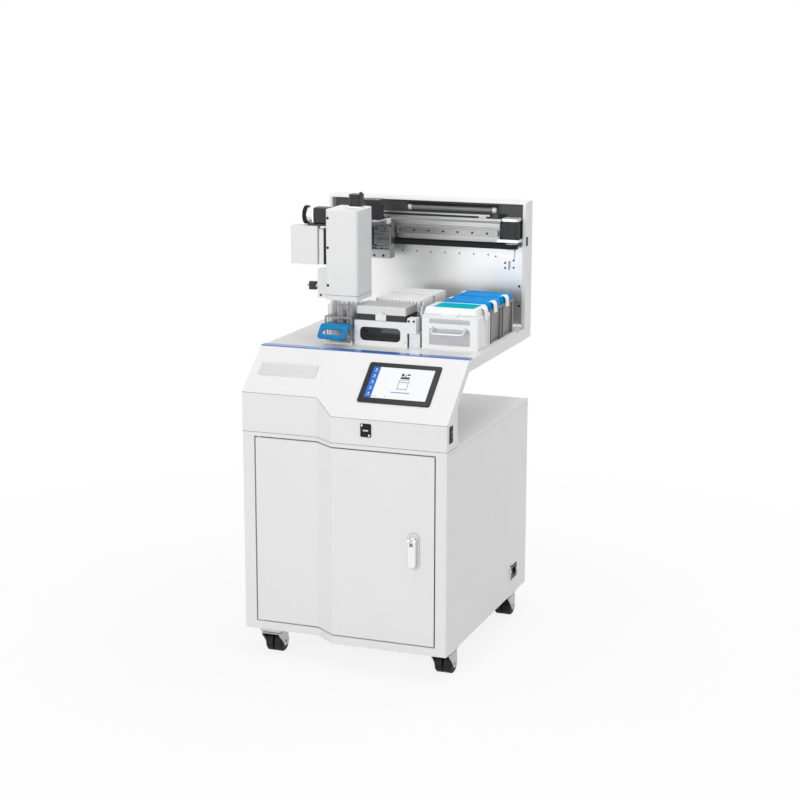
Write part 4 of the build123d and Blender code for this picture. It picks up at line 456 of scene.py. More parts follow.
def machined(name, pale, deep, roughness, lines=(1.0, 1.0, 1.0), line_scale=500.0):
    """Machined or brushed metal, whose tool lines run along the axis stretched least."""
    metal = Finish(name, roughness, 0.9)
    brushed = metal.grain(line_scale, 3.0, lines)
    clouds = metal.grain(6.0, 2.0)
    metal.set("Base Color", metal.blend(brushed * 0.6 + clouds * 0.4, pale, deep))
    metal.set("Roughness", brushed * 0.16 + roughness - 0.08)
    metal.bump(brushed, 0.02 * MM)
    return metal


ground_steel = machined("ground_steel", (0.70, 0.71, 0.73), (0.52, 0.53, 0.55), 0.3)
ground_steel.cover("handle_spindle", "nozzle_block", "caster_plates")

# ---------------------------------------------------------------------------
# Casters. Twin black wheels with a rubber tread under a pressed steel hood that
# swivels on its plate; a turned hub disc closes the side of each wheel.
# ---------------------------------------------------------------------------

rubber = Finish("caster_rubber", 0.55, shine=0.15)
scuffs = rubber.grain(120.0, 5.0)
rubber.mottle(scuffs, (0.012, 0.012, 0.013), (0.035, 0.034, 0.033), 0.25, 0.42)
rubber.bump(rubber.grain(900.0, 3.0), 0.04 * MM)
hood_steel = machined("caster_hood_steel", (0.56, 0.57, 0.58), (0.38, 0.39, 0.40), 0.36)
HUB_PROFILE = [
    (15.0, -1.0), (15.0, 0.5), (13.6, 0.9), (12.8, 0.3), (7.0, 0.3), (6.0, 0.8), (5.2, 0.8)
]
for corner in ("front_left", "front_right", "rear_left", "rear_right"):
    rubber.cover("caster_wheels_" + corner)
    hood_steel.cover("caster_fork_" + corner)
    wheel_low, wheel_high = corners_of("caster_wheels_" + corner)
    axle = (wheel_low + wheel_high) / 2
    caps = bmesh.new()
    for side, x in ((-1, wheel_low.x), (1, wheel_high.x)):
        # Turned hub disc in the side of each wheel, with a raised rim
        lathe(caps, facing((side, 0, 0), (x, axle.y, axle.z)), HUB_PROFILE, 28)
    new_piece("wheel_hubs_" + corner, caps, rubber, "wheels_" + corner)

# ---------------------------------------------------------------------------
# Console. A folded white shell with a sloped front over the door. It carries the
# touch screen, a blank plate, a socket with a screwed flange and the mains switch.
# ---------------------------------------------------------------------------

white_coat.cover("console_shell")


def outer_facet(node, keep):
    """Centre and normal of the outermost triangle whose normal passes a test."""
    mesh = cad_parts[node].data
    facets = [facet for facet in mesh.polygons if facet.area > 1e-4 and keep(facet.normal)]
    best = max(facets, key=lambda facet: facet.center.dot(facet.normal))
    return best.center.copy(), best.normal.copy()


slope_spot, slope_normal = outer_facet("console_shell", lambda n: n.y < -0.3 and n.z > 0.3)
up_slope = slope_normal.cross(Vector((1, 0, 0))).normalized()
if up_slope.z < 0:
    up_slope.negate()


def on_slope(x, y, lift):
    """Matrix of a place on the slope in millimetres: X across, Y up it, Z out of it."""
    fall = slope_normal.x * (x * MM - slope_spot.x) + slope_normal.y * (y * MM - slope_spot.y)
    place = Vector((x * MM, y * MM, slope_spot.z - fall / slope_normal.z))
    place += slope_normal * lift * MM
    axes = Matrix((Vector((1, 0, 0)), up_slope, slope_normal)).transposed().to_4x4()
    return Matrix.Translation(place) @ axes


def rounded_outline(width, height, radius, steps=6):
    """Points of a rectangle with round corners, about its middle."""
    points = []
    for quarter, (sx, sy) in enumerate(((1, 1), (-1, 1), (-1, -1), (1, -1))):
        for step in range(steps + 1):
            angle = math.pi / 2 * (quarter + step / steps)
            x = sx * (width / 2 - radius) + radius * math.cos(angle)
            y = sy * (height / 2 - radius) + radius * math.sin(angle)
            points.append((x, y))
    return points


def stack_loops(shape, matrix, loops):
    """Closed solid through matching loops of (points, height), in millimetres."""
    rows = []
    for points, height in loops:
        rows.append([shape.verts.new(matrix @ (Vector((x, y, height)) * MM)) for x, y in points])
    for lower, upper in zip(rows, rows[1:]):
        for step in range(len(lower)):
            after = (step + 1) % len(lower)
            shape.faces.new((lower[step], lower[after], upper[after], upper[step]))
    shape.faces.new(rows[0][::-1])
    shape.faces.new(rows[-1])


def eased_plate(shape, plane, size, radius, heights, inset, inner_radius, steps=3):
    """Rounded plate from a foot through a shoulder to a top that is inset."""
    full = rounded_outline(*size, radius, steps)
    eased = rounded_outline(size[0] - inset, size[1] - inset, inner_radius, steps)
    stack_loops(shape, plane, list(zip((full, full, eased), heights)))


def tile(shape, matrix, middle, size, radius=0.6, thick=0.12):
    """Thin rounded tile on a plane, such as a mark on the screen."""
    shifted = matrix @ Matrix.Translation((middle[0] * MM, middle[1] * MM, 0.0))
    outline = rounded_outline(*size, radius, 3)
    stack_loops(shape, shifted, [(outline, 0.0), (outline, thick)])


# Grey beads along the slope's lower fold and round the console's foot: painted shade lines, where
# shade falls at the fold and in the gap above the cabinet
seam_painted_shade = powder_coat("seam_painted_shade_grey", *greys(0.22, 0.30), 0.2)
edge_bead(
    "console_fold_shade_line",
    "console_shell",
    lambda edge, first, second: (
        abs(first.z - second.z) > 0.4
        and max(first.z, second.z) > 0.5
        and min(first.z, second.z) < 0.1
        and min(first.z, second.z) > -0.1
        and min(first.y, second.y) < -0.5
        and (first + second).dot(edge.verts[0].co - Vector((0.0, 0.0, 0.6))) > 0.1
        and max(vert.co.z for vert in edge.verts) < 0.7
        and min(vert.co.z for vert in edge.verts) > 0.58
    ),
    0.55,
    seam_painted_shade,
    "stand",
)
# The bead round the console's foot is painted shadow in the gap between the console and the cabinet
shell_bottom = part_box("console_shell")[0].z
edge_bead(
    "console_base_seam_shadow",
    "console_shell",
    lambda edge, first, second: (
        all(abs(vert.co.z - shell_bottom) < 0.2 * MM for vert in edge.verts)
        and min(first.z, second.z) < -0.9
        and (min(first.y, second.y) < -0.5 or max(first.x, second.x) > 0.9)
        and (first + second).dot(edge.verts[0].co - Vector((0.0, 0.0, 0.6))) > 0.0
    ),
    0.6,
    seam_painted_shade,
    "stand",
)

BLANK_PLATE = (145.0, 40.0)
BLANK_PLATE_SPOT = (-166.3, -208.3)
plate_shape = bmesh.new()
stack_loops(
    plate_shape,
    on_slope(*BLANK_PLATE_SPOT, 0.0),
    [
        (rounded_outline(BLANK_PLATE[0], BLANK_PLATE[1], 8.0), 0.0),
        (rounded_outline(BLANK_PLATE[0], BLANK_PLATE[1], 8.0), 1.2),
        (rounded_outline(BLANK_PLATE[0] - 1.6, BLANK_PLATE[1] - 1.6, 7.2), 2.0),
        (rounded_outline(BLANK_PLATE[0] - 5.0, BLANK_PLATE[1] - 5.0, 5.6), 2.0),
        (rounded_outline(BLANK_PLATE[0] - 7.0, BLANK_PLATE[1] - 7.0, 4.8), 1.2),
    ],
)
plate_silver = Finish("silvered_plate", 0.32, 0.2)
plate_lines = plate_silver.grain(700.0, 2.0, (0.02, 1.0, 1.0))
plate_silver.mottle(plate_lines, (0.72, 0.72, 0.73), (0.62, 0.62, 0.63), 0.12, 0.24)
plate_silver.bump(plate_lines, 0.01 * MM)
new_piece("blank_plate", plate_shape, plate_silver, "stand")

screen_black = Finish("screen_glass_black", 0.16, shine=0.25)
smudges = screen_black.grain(30.0, 4.0)
screen_black.mottle(smudges, (0.008, 0.008, 0.009), (0.016, 0.016, 0.018), 0.2, 0.12)
screen_black.cover("touch_screen")

SCREEN_SPOT = (115.5, -222.0)
SCREEN_SIZE = (149.0, 91.0)
GLASS_LIFT = 2.4
SIDEBAR_WIDTH = 17.0
display_left = -SCREEN_SIZE[0] / 2
sidebar_x = display_left + SIDEBAR_WIDTH / 2


def lit_colour(name, colour, strength):
    """Backlit screen colour, with a faint uneven backlight."""
    lit = Finish(name, 0.2, shine=0.1)
    backlight = lit.grain(12.0, 2.0)
    lit.set("Base Color", (0.02, 0.02, 0.02, 1.0))
    lit.set("Emission Color", lit.blend(backlight, colour, tuple(0.93 * c for c in colour)))
    lit.set("Emission Strength", strength)
    return lit


screen_white = lit_colour("screen_white", (0.97, 0.98, 1.0), 0.97)
screen_blue = lit_colour("screen_blue", (0.015, 0.17, 0.72), 0.9)
screen_pale = lit_colour("screen_pale", (0.55, 0.75, 1.0), 0.95)
screen_grey = lit_colour("screen_grey", (0.50, 0.53, 0.57), 0.9)
screen_dark = lit_colour("screen_dark", (0.04, 0.05, 0.06), 0.9)

display = bmesh.new()
tile(display, on_slope(*SCREEN_SPOT, GLASS_LIFT), (0, 0), SCREEN_SIZE, 0.5)
new_piece("screen_display", display, screen_white, "stand")
sidebar = bmesh.new()
sidebar_plane = on_slope(*SCREEN_SPOT, GLASS_LIFT + 0.1)
tile(sidebar, sidebar_plane, (sidebar_x, 0), (SIDEBAR_WIDTH, SCREEN_SIZE[1]), 0.5)
# A pill below the picture, where the caption would be
tile(sidebar, sidebar_plane, (8.0, -25.5), (46.0, 2.2), 1.0)
new_piece("screen_sidebar", sidebar, screen_blue, "stand")
# Menu keys down the sidebar: a round dot and a pair of short bars for each
menu = bmesh.new()
menu_plane = on_slope(*SCREEN_SPOT, GLASS_LIFT + 0.2)
for row in range(5):
    menu_y = 36.0 - 17.5 * row
    tile(menu, menu_plane, (sidebar_x, menu_y + 2.0), (5.0, 5.0), 2.4)
    tile(menu, menu_plane, (sidebar_x, menu_y - 3.6), (9.0, 1.4), 0.6)
new_piece("screen_menu", menu, screen_pale, "stand")
# Plain picture of a bench instrument: a pale cabinet with a dark top
picture = bmesh.new()
tile(picture, sidebar_plane, (9.0, -2.0), (25.0, 29.0), 2.0)
tile(picture, sidebar_plane, (9.0, 24.0), (5.0, 9.0), 0.8)
new_piece("screen_picture", picture, screen_grey, "stand")
picture_paper = bmesh.new()
for middle, size in (((9.0, -5.0), (21.0, 17.0)), ((9.0, 8.5), (21.0, 4.0))):
    tile(picture_paper, menu_plane, middle, size, 1.0)
new_piece("screen_picture_paper", picture_paper, screen_white, "stand")
picture_top = bmesh.new()
TOP_PARTS = (((9.0, 17.5), (22.0, 6.0)), ((1.5, 26.5), (6.0, 8.0)), ((16.0, 27.5), (7.0, 4.5)))
for middle, size in TOP_PARTS:
    tile(picture_top, menu_plane, middle, size, 0.8)
for middle in ((-52.0, -40.0), (-46.0, -40.0), (-24.0, -40.0)):
    tile(picture_top, menu_plane, middle, (3.4, 1.4), 0.5)
new_piece("screen_picture_top", picture_top, screen_dark, "stand")


def moulded(name, pale, deep, roughness, shine=0.4, texture=0.03):
    """Injection-moulded plastic with a fine spark-eroded texture."""
    plastic = Finish(name, roughness, shine=shine)
    patches = plastic.grain(18.0, 3.0)
    plastic.mottle(patches, pale, deep, 0.14, roughness - 0.07)
    plastic.bump(plastic.grain(1100.0, 2.0), texture * MM)
    return plastic


black_plastic = moulded(
    "black_moulded_plastic", (0.010, 0.010, 0.011), (0.018, 0.018, 0.019), 0.42, 0.15
)
black_plastic.cover("usb_port", "power_switch_frame", "power_rocker", "pump_knob")


def front_screws(name, places, radius, body="stand", finish=black_oxide):
    """Screws that face the front, blackened unless the finish says otherwise."""
    screws(name, places, (0, -1, 0), radius, finish, body)


PORT_SCREW_INSET = 4.2
port_low, port_high = corners_of("usb_port", PORT_SCREW_INSET)
front_screws(
    "port_screws",
    [
        (port_low.x, port_low.y - PORT_SCREW_INSET, port_high.z),
        (port_high.x, port_low.y - PORT_SCREW_INSET, port_low.z),
    ],
    2.8,
    "stand",
    zinc,
)

# Pale contact tongue in the middle of the socket
port_middle = (port_low + port_high) / 2
tongue = bmesh.new()
tongue_plane = facing(
    (0, -1, 0), (port_middle.x, port_low.y - PORT_SCREW_INSET + 0.2, port_middle.z)
)
tile(tongue, tongue_plane, (0, 0), (13.0, 3.4), 0.8, 0.4)
print_white = Finish("printed_white", 0.5)
print_white.set("Base Color", print_white.blend(print_white.grain(90.0), *greys(0.78, 0.68)))
new_piece("port_tongue", tongue, print_white, "stand")
# A bar and a ring on the two halves of the rocker
rocker_low, rocker_high = corners_of("power_rocker")
rocker_middle = (rocker_low + rocker_high) / 2
marks = bmesh.new()
bar_plane = facing((1, 0, 0.09), (rocker_high.x - 0.35, rocker_middle.y, rocker_middle.z - 6.5))
tile(marks, bar_plane, (0, 0), (0.9, 4.2), 0.3)
ring_plane = facing((1, 0, -0.09), (rocker_high.x - 0.35, rocker_middle.y, rocker_middle.z + 6.5))
ring_profile = [(2.2, 0.0), (2.2, 0.12), (1.6, 0.12), (1.6, 0.02)]
lathe(marks, ring_plane, ring_profile, 24)
new_piece("rocker_marks", marks, print_white, "rocker")

# Mains inlet: a black flange with a screw at each end, its outer rim white
INLET_SCREW_REACH = 20.0
INLET_BLACK_HALF = (24.0, 18.5)
inlet_low, inlet_high = corners_of("power_inlet")
inlet_middle = (inlet_low + inlet_high) / 2
inlet_plastic = moulded("inlet_plastic", *greys(0.83, 0.80), 0.42, 0.3)
inlet_y = inlet_plastic.axis("Y")
inlet_z = inlet_plastic.axis("Z")
white_rim = (
    (inlet_y > (inlet_middle.y + INLET_BLACK_HALF[0]) * MM)
    + (inlet_y < (inlet_middle.y - INLET_BLACK_HALF[0]) * MM)
    + (inlet_z > (inlet_middle.z + INLET_BLACK_HALF[1]) * MM)
    + (inlet_z < (inlet_middle.z - INLET_BLACK_HALF[1]) * MM)
).clamp()
inlet_plastic.set(
    "Base Color", inlet_plastic.blend(white_rim, (0.014, 0.014, 0.015), (0.82, 0.82, 0.82))
)
inlet_plastic.cover("power_inlet")
screws(
    "inlet_screws",
    [(inlet_high.x, inlet_middle.y + side * INLET_SCREW_REACH, inlet_middle.z) for side in (-1, 1)],
    (1, 0, 0),
    2.6,
    zinc,
    "stand",
)

# ---------------------------------------------------------------------------
# Electronics behind the door. A galvanised power-supply box with a row of round
# vents, and a green board on edge with its heat sinks.
# ---------------------------------------------------------------------------

tray_zinc = Finish("galvanised_tray", 0.38, 0.8)
spangle = tray_zinc.grain(60.0, 1.0)
BOARD_SPAN_X = (81.5, 86.1)
BOARD_FOOT_Z = 67.5
tray_x = tray_zinc.axis("X")
board_mask = (tray_x > BOARD_SPAN_X[0] * MM) * (tray_x < BOARD_SPAN_X[1] * MM)
board_mask = board_mask * (tray_zinc.axis("Z") > BOARD_FOOT_Z * MM)
galvanised = tray_zinc.blend(spangle, (0.62, 0.64, 0.66), (0.46, 0.48, 0.50))
tray_zinc.set("Base Color", tray_zinc.blend(board_mask, galvanised, (0.01, 0.16, 0.06)))
tray_zinc.set("Metallic", (1.0 - board_mask) * 0.8)
tray_zinc.set("Roughness", spangle * 0.2 + 0.28)
tray_zinc.cover("electronics_tray")

# ---------------------------------------------------------------------------
# Deck. A brushed steel plate over a white folded tray, with tapped holes at its
# left for further modules, and a blue-filmed strip along its front edge.
# ---------------------------------------------------------------------------

white_coat.cover("deck_tray", "support_column")
deck_steel = machined(
    "brushed_deck_steel", (0.78, 0.78, 0.77), (0.70, 0.70, 0.69), 0.46, (0.012, 1.0, 1.0)
)
deck_steel.set("Metallic", 0.3)
deck_steel.cover("deck_plate", "labware_dock")
blue_film = Finish("blue_edge_film", 0.14, shine=0.35, coat=0.1)
film_waves = blue_film.grain(9.0, 3.0, (1.0, 2.0, 2.0))
blue_film.mottle(film_waves, (0.03, 0.115, 0.42), (0.065, 0.19, 0.54), 0.10, 0.08)
blue_film.cover("deck_front_strip")

# Two screw heads at the deck's left
DECK_SCREWS = [(-200.2, -86.0), (-200.2, 60.0)]
deck_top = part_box("deck_plate")[1].z / MM
screws(
    "deck_screws",
    [(x, y, deck_top - 0.6) for x, y in DECK_SCREWS],
    (0, 0, 1),
    2.4,
    zinc,
    "stand",
)

# ---------------------------------------------------------------------------
# Rear housing. A white cowl with a rolled front edge round a brushed steel panel.
# Screws hold the cowl's sides, the panel's stiffening strip and the cable channel.
# ---------------------------------------------------------------------------

white_coat.cover("rear_housing")
panel_steel = machined("brushed_panel_steel", *greys(0.72, 0.64), 0.38, (0.02, 1.0, 1.0))
panel_steel.cover("rear_inner_panel")

housing_high = corners_of("rear_housing")[1]
panel_low, panel_high = corners_of("rear_inner_panel")
STRIP_SCREW_PITCH = 37.7
STRIP_SCREW_Z = 905.8
STRIP_FACE_Y = 287.0
PANEL_FACE_Y = 292.0
STRIP_SCREW_X = 159.2
strip_screws = [
    (STRIP_SCREW_X - STRIP_SCREW_PITCH * step, STRIP_FACE_Y, STRIP_SCREW_Z) for step in range(11)
]
strip_screws.append((178.8, STRIP_FACE_Y, 902.4))
front_screws("strip_screws", strip_screws, 2.0)
front_screws(
    "panel_screws",
    [(227.0, PANEL_FACE_Y, 920.3), (224.0, PANEL_FACE_Y, 893.7), (224.0, PANEL_FACE_Y, 875.7)],
    2.6,
)
CHANNEL_FACE_Y = 289.0
front_screws(
    "channel_screws", [(240.3, CHANNEL_FACE_Y, 830.7), (240.3, CHANNEL_FACE_Y, 781.8)], 3.0
)
SIDE_SCREW_Y = 305.0
for side in (-1, 1):
    screws(
        "cowl_screws_left" if side < 0 else "cowl_screws_right",
        [(side * housing_high.x, SIDE_SCREW_Y, z) for z in (724.0, 859.6, 994.6)],
        (side, 0, 0),
        2.4,
        zinc,
        "stand",
    )

# Screws of the small bracket beside the channel
front_screws("bracket_screws", [(205.0, 282.0, 888.0), (205.0, 282.0, 876.0)], 2.6)

# ---------------------------------------------------------------------------
# Germicidal lamp. A grey glass tube with pale end caps, held by two clips under a
# black folded strip that hangs from the cowl's roof: painted shadow above the tube.
# ---------------------------------------------------------------------------

lamp_low, lamp_high = corners_of("uv_lamp")
lamp_axis = (lamp_low + lamp_high) / 2
TUBE_RADIUS = 7.2
CAP_LENGTH = 9.5
lamp_length = lamp_high.x - lamp_low.x
lamp_glass = Finish("lamp_glass", 0.3, 0.1, shine=0.3)
lamp_x = lamp_glass.axis("X")
left_cap = lamp_x < (lamp_low.x + CAP_LENGTH) * MM
right_cap = lamp_x > (lamp_high.x - CAP_LENGTH) * MM
cap_mask = (left_cap + right_cap).clamp()
tube_clouds = lamp_glass.grain(25.0, 2.0)
tube_colour = lamp_glass.blend(tube_clouds, (0.25, 0.25, 0.255), (0.19, 0.19, 0.195))
lamp_glass.mottle(cap_mask, tube_colour, (0.80, 0.80, 0.80), 0.15, 0.26)
lamp = bmesh.new()
lathe(
    lamp,
    facing((1, 0, 0), (lamp_low.x, lamp_axis.y - 0.6, lamp_axis.z)),
    [
        (TUBE_RADIUS - 1.2, 0.0),
        (TUBE_RADIUS + 0.4, 1.0),
        (TUBE_RADIUS + 0.4, CAP_LENGTH),
        (TUBE_RADIUS - 0.6, CAP_LENGTH),
        (TUBE_RADIUS - 0.6, lamp_length - CAP_LENGTH),
        (TUBE_RADIUS + 0.4, lamp_length - CAP_LENGTH),
        (TUBE_RADIUS + 0.4, lamp_length - 1.0),
        (TUBE_RADIUS - 1.2, lamp_length),
    ],
    28,
)
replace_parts(new_piece("germicidal_tube", lamp, lamp_glass, "stand"), "uv_lamp")


def extrude_along_x(shape, left, right, profile):
    """Solid along X from an outline of (y, z) points, in millimetres."""
    ends = []
    for x in (left, right):
        ends.append([shape.verts.new(Vector((x, y, z)) * MM) for y, z in profile])
    for step in range(len(profile)):
        after = (step + 1) % len(profile)
        shape.faces.new((ends[0][step], ends[0][after], ends[1][after], ends[1][step]))
    shape.faces.new(ends[0][::-1])
    shape.faces.new(ends[1])


# Black folded strip over the tube: painted shadow of the lamp under the cowl's roof
SHADOW_STRIP_WALL = 1.2
shadow_strip_top = lamp_axis.z + TUBE_RADIUS + 2.6
shadow_strip_front = lamp_axis.y - 8.0
shadow_strip = bmesh.new()
extrude_along_x(
    shadow_strip,
    lamp_low.x - 1.0,
    lamp_high.x + 1.0,
    [
        (PANEL_FACE_Y, shadow_strip_top),
        (shadow_strip_front + 0.8, shadow_strip_top),
        (shadow_strip_front, shadow_strip_top - 0.8),
        (shadow_strip_front, shadow_strip_top - 2.2),
        (shadow_strip_front + SHADOW_STRIP_WALL, shadow_strip_top - 2.2),
        (PANEL_FACE_Y, shadow_strip_top - SHADOW_STRIP_WALL),
    ],
)
lamp_shadow_black = powder_coat("lamp_shadow_black_coat", (0.010, 0.010, 0.011), (0.016, 0.016, 0.017), 0.1)
new_piece("lamp_shadow_strip", shadow_strip, lamp_shadow_black, "stand")

# Dark strip across the panel, behind the lamp, with two bends and a lower lip, shaped as a cable
# duct: painted shade under the cowl's roof, where the panel lies in shadow
SHADE_DUCT_SPAN_Z = (984.0, 1035.0)
shade_duct_ends = (panel_low.x + 3.0, panel_high.x - 1.0)
shade_duct = bmesh.new()
extrude_along_x(
    shade_duct,
    *shade_duct_ends,
    [
        (PANEL_FACE_Y, SHADE_DUCT_SPAN_Z[1]),
        (PANEL_FACE_Y - 3.0, SHADE_DUCT_SPAN_Z[1]),
        (PANEL_FACE_Y - 3.0, SHADE_DUCT_SPAN_Z[0] + 26.0),
        (PANEL_FACE_Y - 4.2, SHADE_DUCT_SPAN_Z[0] + 24.0),
        (PANEL_FACE_Y - 4.2, SHADE_DUCT_SPAN_Z[0] + 9.0),
        (PANEL_FACE_Y - 6.0, SHADE_DUCT_SPAN_Z[0] + 7.0),
        (PANEL_FACE_Y - 6.0, SHADE_DUCT_SPAN_Z[0]),
        (PANEL_FACE_Y, SHADE_DUCT_SPAN_Z[0]),
    ],
)
# Very dark grey: painted shade in the zone under the cowl's roof
duct_painted_shade = machined(
    "duct_painted_shade_grey", (0.065, 0.065, 0.066), (0.038, 0.038, 0.039), 0.5, (0.01, 1.0, 1.0)
)
duct_painted_shade.set("Metallic", 0.3)
new_piece("painted_shade_duct", shade_duct, duct_painted_shade, "stand")
# Cable clips on the duct and the black plug at the cowl's right edge
clips = bmesh.new()
# Each clip: x, z and size
DUCT_CLIPS = (
    (96.0, 991.0, (14.0, 7.0)),
    (196.0, 1003.0, (22.0, 9.0)),
    (238.0, 993.0, (16.0, 12.0)),
    (-60.0, 989.0, (8.0, 6.0)),
)
for x, z, size in DUCT_CLIPS:
    clip_plane = facing((0, -1, 0), (x, PANEL_FACE_Y - 5.0, z))
    eased_plate(clips, clip_plane, size, 2.0, (0.0, 3.0, 4.0), 2.0, 1.2)
plug_plane = facing((-1, 0, 0), (housing_high.x - 1.5, 283.0, 944.0))
eased_plate(clips, plug_plane, (16.0, 22.0), 2.0, (-2.0, 5.0, 8.0), 4.0, 2.0)
new_piece("cable_clips", clips, black_plastic, "stand")

# ---------------------------------------------------------------------------
# X gantry. A clear-anodised beam with a ground rail, a black toothed belt on two
# flanged pulleys, and a square stepper motor standing on a bright bracket.
# ---------------------------------------------------------------------------

beam_alloy = machined("anodised_beam", *greys(0.48, 0.38), 0.42, (0.008, 1.0, 1.0))
beam_alloy.cover("x_beam")
rail_steel = machined("ground_rail_steel", *greys(0.33, 0.24), 0.26, (0.006, 1.0, 1.0), 700.0)
rail_steel.cover("x_rail")

RAIL_SCREW_PITCH = 38.0
RAIL_SCREW_Z = 963.0
rail_low = corners_of("x_rail")[0]
front_screws(
    "rail_screws",
    [(167.0 - RAIL_SCREW_PITCH * step, rail_low.y + 0.2, RAIL_SCREW_Z) for step in range(11)],
    2.3,
    "stand",
)

BELT_TOOTH_PITCH = 3.0 * MM
belt_rubber = Finish("belt_rubber", 0.6, shine=0.15)
belt_waves = belt_rubber.axis("X").maths(
    "MULTIPLY", belt_rubber.axis("X"), math.tau / BELT_TOOTH_PITCH
)
belt_teeth = belt_waves.maths("SINE", belt_waves)
belt_fluff = belt_rubber.grain(250.0, 3.0)
belt_rubber.mottle(belt_fluff, (0.012, 0.012, 0.013), (0.03, 0.03, 0.03), 0.25, 0.45)
belt_rubber.bump(belt_teeth, 0.2 * MM)
belt_rubber.cover("x_belt")

pulley_alloy = machined(
    "turned_pulley", (0.66, 0.67, 0.69), (0.50, 0.51, 0.53), 0.26, (1.0, 1.0, 0.02), 600.0
)
pulley_alloy.cover("x_drive_pulley", "x_idler_pulley")


def motor_finish(name, bright_mask_of, axis="Z"):
    """Black laminated motor body, with bright end caps or bracket where the mask is 1."""
    motor = Finish(name, 0.4, shine=0.2)
    bright = bright_mask_of(motor)
    stack = motor.axis(axis)
    laminations = stack.maths("SINE", stack * (math.tau / (0.9 * MM)))
    speckle = motor.grain(220.0, 3.0)
    dark = motor.blend(speckle, (0.030, 0.030, 0.031), (0.052, 0.052, 0.053))
    motor.set("Base Color", motor.blend(bright, dark, (0.84, 0.84, 0.85)))
    motor.set("Metallic", bright * 0.5)
    motor.set("Roughness", speckle * 0.15 + 0.3)
    motor.bump(laminations * (1.0 - bright), 0.05 * MM)
    return motor


MOTOR_CAP = 6.0
BRACKET_PLATE = 7.0
x_motor_low, x_motor_high = corners_of("x_motor")
motor_finish(
    "x_motor_finish",
    lambda m: (
        (m.axis("Z") > (x_motor_high.z - MOTOR_CAP) * MM)
        + (m.axis("Z") < (x_motor_low.z + BRACKET_PLATE) * MM)
    ).clamp(),
).cover("x_motor")

# Four long screws through each motor's top cap
MOTOR_SCREW_REACH = 15.5
X_MOTOR_MIDDLE = (227.3, 261.2)
Y_MOTOR_MIDDLE = (-109.0, 194.0)


def four_round(middle, reach, z):
    """Four places round a middle, in a square."""
    return [(middle[0] + sx * reach, middle[1] + sy * reach, z) for sx in (-1, 1) for sy in (-1, 1)]


screws(
    "x_motor_screws",
    four_round(X_MOTOR_MIDDLE, MOTOR_SCREW_REACH, x_motor_high.z),
    (0, 0, 1),
    2.2,
    zinc,
    "stand",
)

# ---------------------------------------------------------------------------
# Carriage. Machined alloy plates on a linear bearing, with the cantilever arm, its
# rail and the second stepper motor, and screws in every plate.
# ---------------------------------------------------------------------------

carriage_alloy = machined("milled_carriage_alloy", *greys(0.52, 0.28), 0.34, (1.0, 1.0, 0.05))
carriage_alloy.cover("x_carriage")
arm_alloy = machined(
    "milled_arm_alloy", (0.60, 0.61, 0.63), (0.46, 0.47, 0.49), 0.36, (1.0, 0.02, 1.0)
)
arm_alloy.cover("y_arm")

# White cap on the arm's front end, level with the valve box, and a black strip beside it on the
# arm's end face
arm_low = corners_of("y_arm")[0]
ARM_CAP_X = (-148.6, -137.0)
ARM_CAP_Z = (913.5, 997.5)


def end_plate(name, edges_x, thick, radius, finish):
    """Rounded upright plate on the arm's front end."""
    plate = bmesh.new()
    size = (edges_x[1] - edges_x[0], ARM_CAP_Z[1] - ARM_CAP_Z[0])
    plane = facing((0, -1, 0), (sum(edges_x) / 2, arm_low.y, sum(ARM_CAP_Z) / 2))
    eased_plate(plate, plane, size, radius, (-0.2, thick - 0.5, thick), 1.0, radius)
    return new_piece(name, plate, finish, "carriage")


end_plate("arm_end_cap", ARM_CAP_X, 4.5, 1.5, white_coat)
end_plate("arm_end_black_strip", (ARM_CAP_X[1], -131.2), 3.0, 0.8, black_plastic)

y_motor_high = corners_of("y_motor")[1]
Y_MOTOR_LENGTH = 49.0
motor_finish(
    "y_motor_finish",
    lambda m: m.axis("Z") < (y_motor_high.z - Y_MOTOR_LENGTH) * MM,
).cover("y_motor")
screws(
    "y_motor_screws",
    four_round(Y_MOTOR_MIDDLE, MOTOR_SCREW_REACH, y_motor_high.z),
    (0, 0, 1),
    2.2,
    zinc,
    "carriage",
)

LOWER_BRACKET_Y = 214.0
FACE_PLATE_Y = 228.0
FACE_SCREWS = ((-116.7, 924.0), (-78.0, 924.0), (-116.6, 962.5), (-78.0, 974.0))
front_screws(
    "carriage_bracket_screws",
    [(-115.6, LOWER_BRACKET_Y, 900.5), (-91.3, LOWER_BRACKET_Y, 900.5)],
    3.0,
    "carriage",
)
front_screws(
    "carriage_face_screws",
    [(x, FACE_PLATE_Y, z) for x, z in FACE_SCREWS],
    2.6,
    "carriage",
)

# Runner block, clamp strips and spacers that are screwed to the carriage's face
FACE_PARTS = [
    ((-100.0, 967.0), (44.0, 15.0), 5.0),
    ((-104.0, 948.5), (50.0, 9.0), 7.0),
    ((-96.0, 935.0), (34.0, 12.0), 4.5),
    ((-108.0, 918.0), (40.0, 11.0), 6.0),
    ((-84.0, 919.0), (12.0, 15.0), 3.5),
]
RUNNER_SCREWS = [
    (-114.0, 223.2, 967.0),
    (-90.0, 223.2, 967.0),
    (-122.0, 221.2, 948.5),
    (-118.0, 222.2, 918.0),
    (-98.0, 222.2, 918.0),
]
face_parts = bmesh.new()
for (x, z), size, thick in FACE_PARTS:
    part_plane = facing((0, -1, 0), (x, FACE_PLATE_Y + 0.5, z))
    eased_plate(face_parts, part_plane, size, 1.5, (0.0, thick - 0.8, thick), 1.6, 1.0)
runner_alloy = machined("runner_block_alloy", *greys(0.40, 0.16), 0.3, (0.05, 1.0, 1.0))
new_piece("carriage_face_parts", face_parts, runner_alloy, "carriage")
front_screws("runner_screws", RUNNER_SCREWS, 2.2, "carriage")

# ---------------------------------------------------------------------------
# Pipetting head. A white folded cover over the Z drive, on a white bottom plate with
# a side plate. The pump's motor, its hand knob and the valve box hang at its left.
# ---------------------------------------------------------------------------

